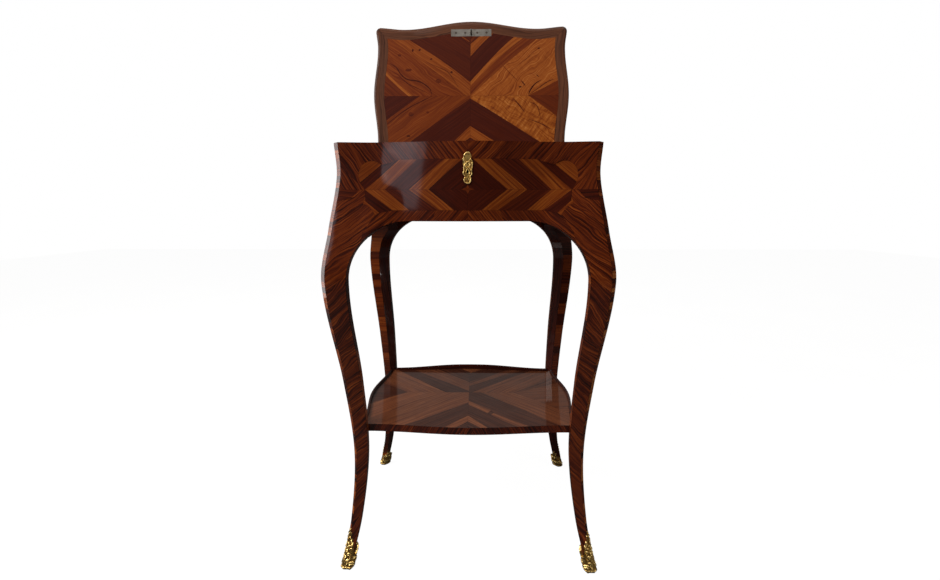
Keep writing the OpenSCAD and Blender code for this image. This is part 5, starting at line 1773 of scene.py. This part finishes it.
# Camera: its place in metres and its three turns, as fitted
EYE = (0.0154, -0.7987, 0.6209)
PITCH, YAW, ROLL = (math.radians(v) for v in (10.723, -1.067, -0.046))
camera_data = bpy.data.cameras.new("camera")
camera_data.sensor_width = 36.0
camera_data.lens = 16.22
camera_data.clip_start = 0.01
camera = bpy.data.objects.new("camera", camera_data)
bpy.context.scene.collection.objects.link(camera)
look = np.array([math.sin(YAW) * math.cos(PITCH), math.cos(YAW) * math.cos(PITCH), -math.sin(PITCH)])
level = np.array([math.cos(YAW), -math.sin(YAW), 0.0])
upright = np.cross(level, look)
right = level * math.cos(ROLL) + upright * math.sin(ROLL)
up = upright * math.cos(ROLL) - level * math.sin(ROLL)
camera.matrix_world = Matrix([[right[k], up[k], -look[k], EYE[k]] for k in range(3)] + [[0, 0, 0, 1]])
bpy.context.scene.camera = camera

# Floor: a sheet evenly bright to the camera and dark grey to all other rays
FLOOR = 6.0
floor_mesh = bpy.data.meshes.new("floor")
floor_corners = [(-FLOOR, -FLOOR, 0), (FLOOR, -FLOOR, 0), (FLOOR, FLOOR, 0), (-FLOOR, FLOOR, 0)]
floor_mesh.from_pydata(floor_corners, [], [(0, 1, 2, 3)])
floor = bpy.data.objects.new("floor", floor_mesh)
bpy.context.scene.collection.objects.link(floor)
floor_material, w, shader, place = new_material("pale floor")
greys = [(0.3, (0.09, 0.09, 0.09)), (0.7, (0.11, 0.11, 0.11))]
w.put(shader.inputs["Base Color"], w.ramp(w.noise(place, 3.0, 2.0), greys))
shader.inputs["Roughness"].default_value = 0.9
shader.inputs["Specular IOR Level"].default_value = 0.0
shader.inputs["Emission Color"].default_value = (1.0, 1.0, 1.0, 1.0)
seen = w.node("LightPath").outputs["Is Camera Ray"]
w.put(shader.inputs["Emission Strength"], w.maths("MULTIPLY", seen, 0.97))
floor_mesh.materials.append(floor_material)


def lamp(name, place, target, size, power, colour, tilt=0):
    """Rectangular soft light of a width and height, facing a target and turned in its own
    plane by tilt degrees."""
    light = bpy.data.lights.new(name, "AREA")
    light.shape = "RECTANGLE"
    light.size, light.size_y = size
    light.energy = power
    light.color = colour
    holder = bpy.data.objects.new(name, light)
    holder.visible_camera = False
    bpy.context.scene.collection.objects.link(holder)
    back = np.array(place, float) - np.array(target, float)
    back /= np.linalg.norm(back)
    side_dir = np.cross([0, 0, 1.0], back)
    side_dir /= np.linalg.norm(side_dir)
    top_dir = np.cross(back, side_dir)
    c, s = math.cos(math.radians(tilt)), math.sin(math.radians(tilt))
    axes = side_dir * c + top_dir * s, top_dir * c - side_dir * s, back, place
    holder.matrix_world = Matrix([[axis[k] for axis in axes] for k in range(3)] + [[0, 0, 0, 1]])


# Soft lights: name, place, target, width and height, power, colour, tilt
lamp("key", (-1.9, -1.15, 2.0), (0, 0, 0.6), (1.6, 1.3), 62.0, (1.0, 0.96, 0.92))
lamp("front", (0.35, -1.05, 2.9), (0, 0, 0.6), (2.0, 1.0), 20.0, (1.0, 0.95, 0.9))
lamp("side", (-1.75, 0.40, 0.75), (-0.2, -0.14, 0.45), (0.55, 1.7), 12.0, (1.0, 0.95, 0.94))
lamp("low", (1.9, -1.2, 0.38), (0, 0.1, 0.4), (0.5, 0.3), 5.0, (1.0, 0.96, 0.93))
lamp("tall", (-1.75, -0.23, 0.38), (0.19, 0.13, 0.38), (0.22, 0.74), 1.3, (0.95, 0.93, 1.0))
lamp("window", (-0.391, -0.748, 0.736), (-0.391, 0, 0.736), (0.116, 0.209), 0.088,
     (0.90, 0.90, 1.0), -10)
lamp("window top", (-0.398, -0.747, 0.812), (-0.398, 0, 0.812), (0.106, 0.085), 0.024,
     (1.0, 0.90, 0.92), -10)

# World: white to the camera; to other rays a dim room, paler at the back, dark on the right
world = bpy.data.worlds.new("room")
world.use_nodes = True
world.node_tree.nodes.clear()
w = Wiring(world.node_tree)
ray = w.node("LightPath").outputs["Is Camera Ray"]
direction = w.split(w.node("TexCoord").outputs["Generated"])
room = w.ramp(w.spread(direction["Y"], -1.0, 1.0), [
    (0.0, (0.013, 0.010, 0.009)),
    (0.45, (0.028, 0.024, 0.023)),
    (0.62, (0.16, 0.155, 0.145)),
    (1.0, (0.21, 0.20, 0.19)),
])
room = w.blend(w.spread(direction["X"], 0.35, 0.9), room, (0.03, 0.026, 0.024, 1.0))
background = w.node("Background")
w.put(background.inputs["Color"], w.blend(ray, room, (1.0, 1.0, 1.0, 1.0)))
out = w.node("OutputWorld")
w.put(out.inputs["Surface"], background.outputs[0])
bpy.context.scene.world = world
bpy.context.scene.view_settings.view_transform = "Standard"
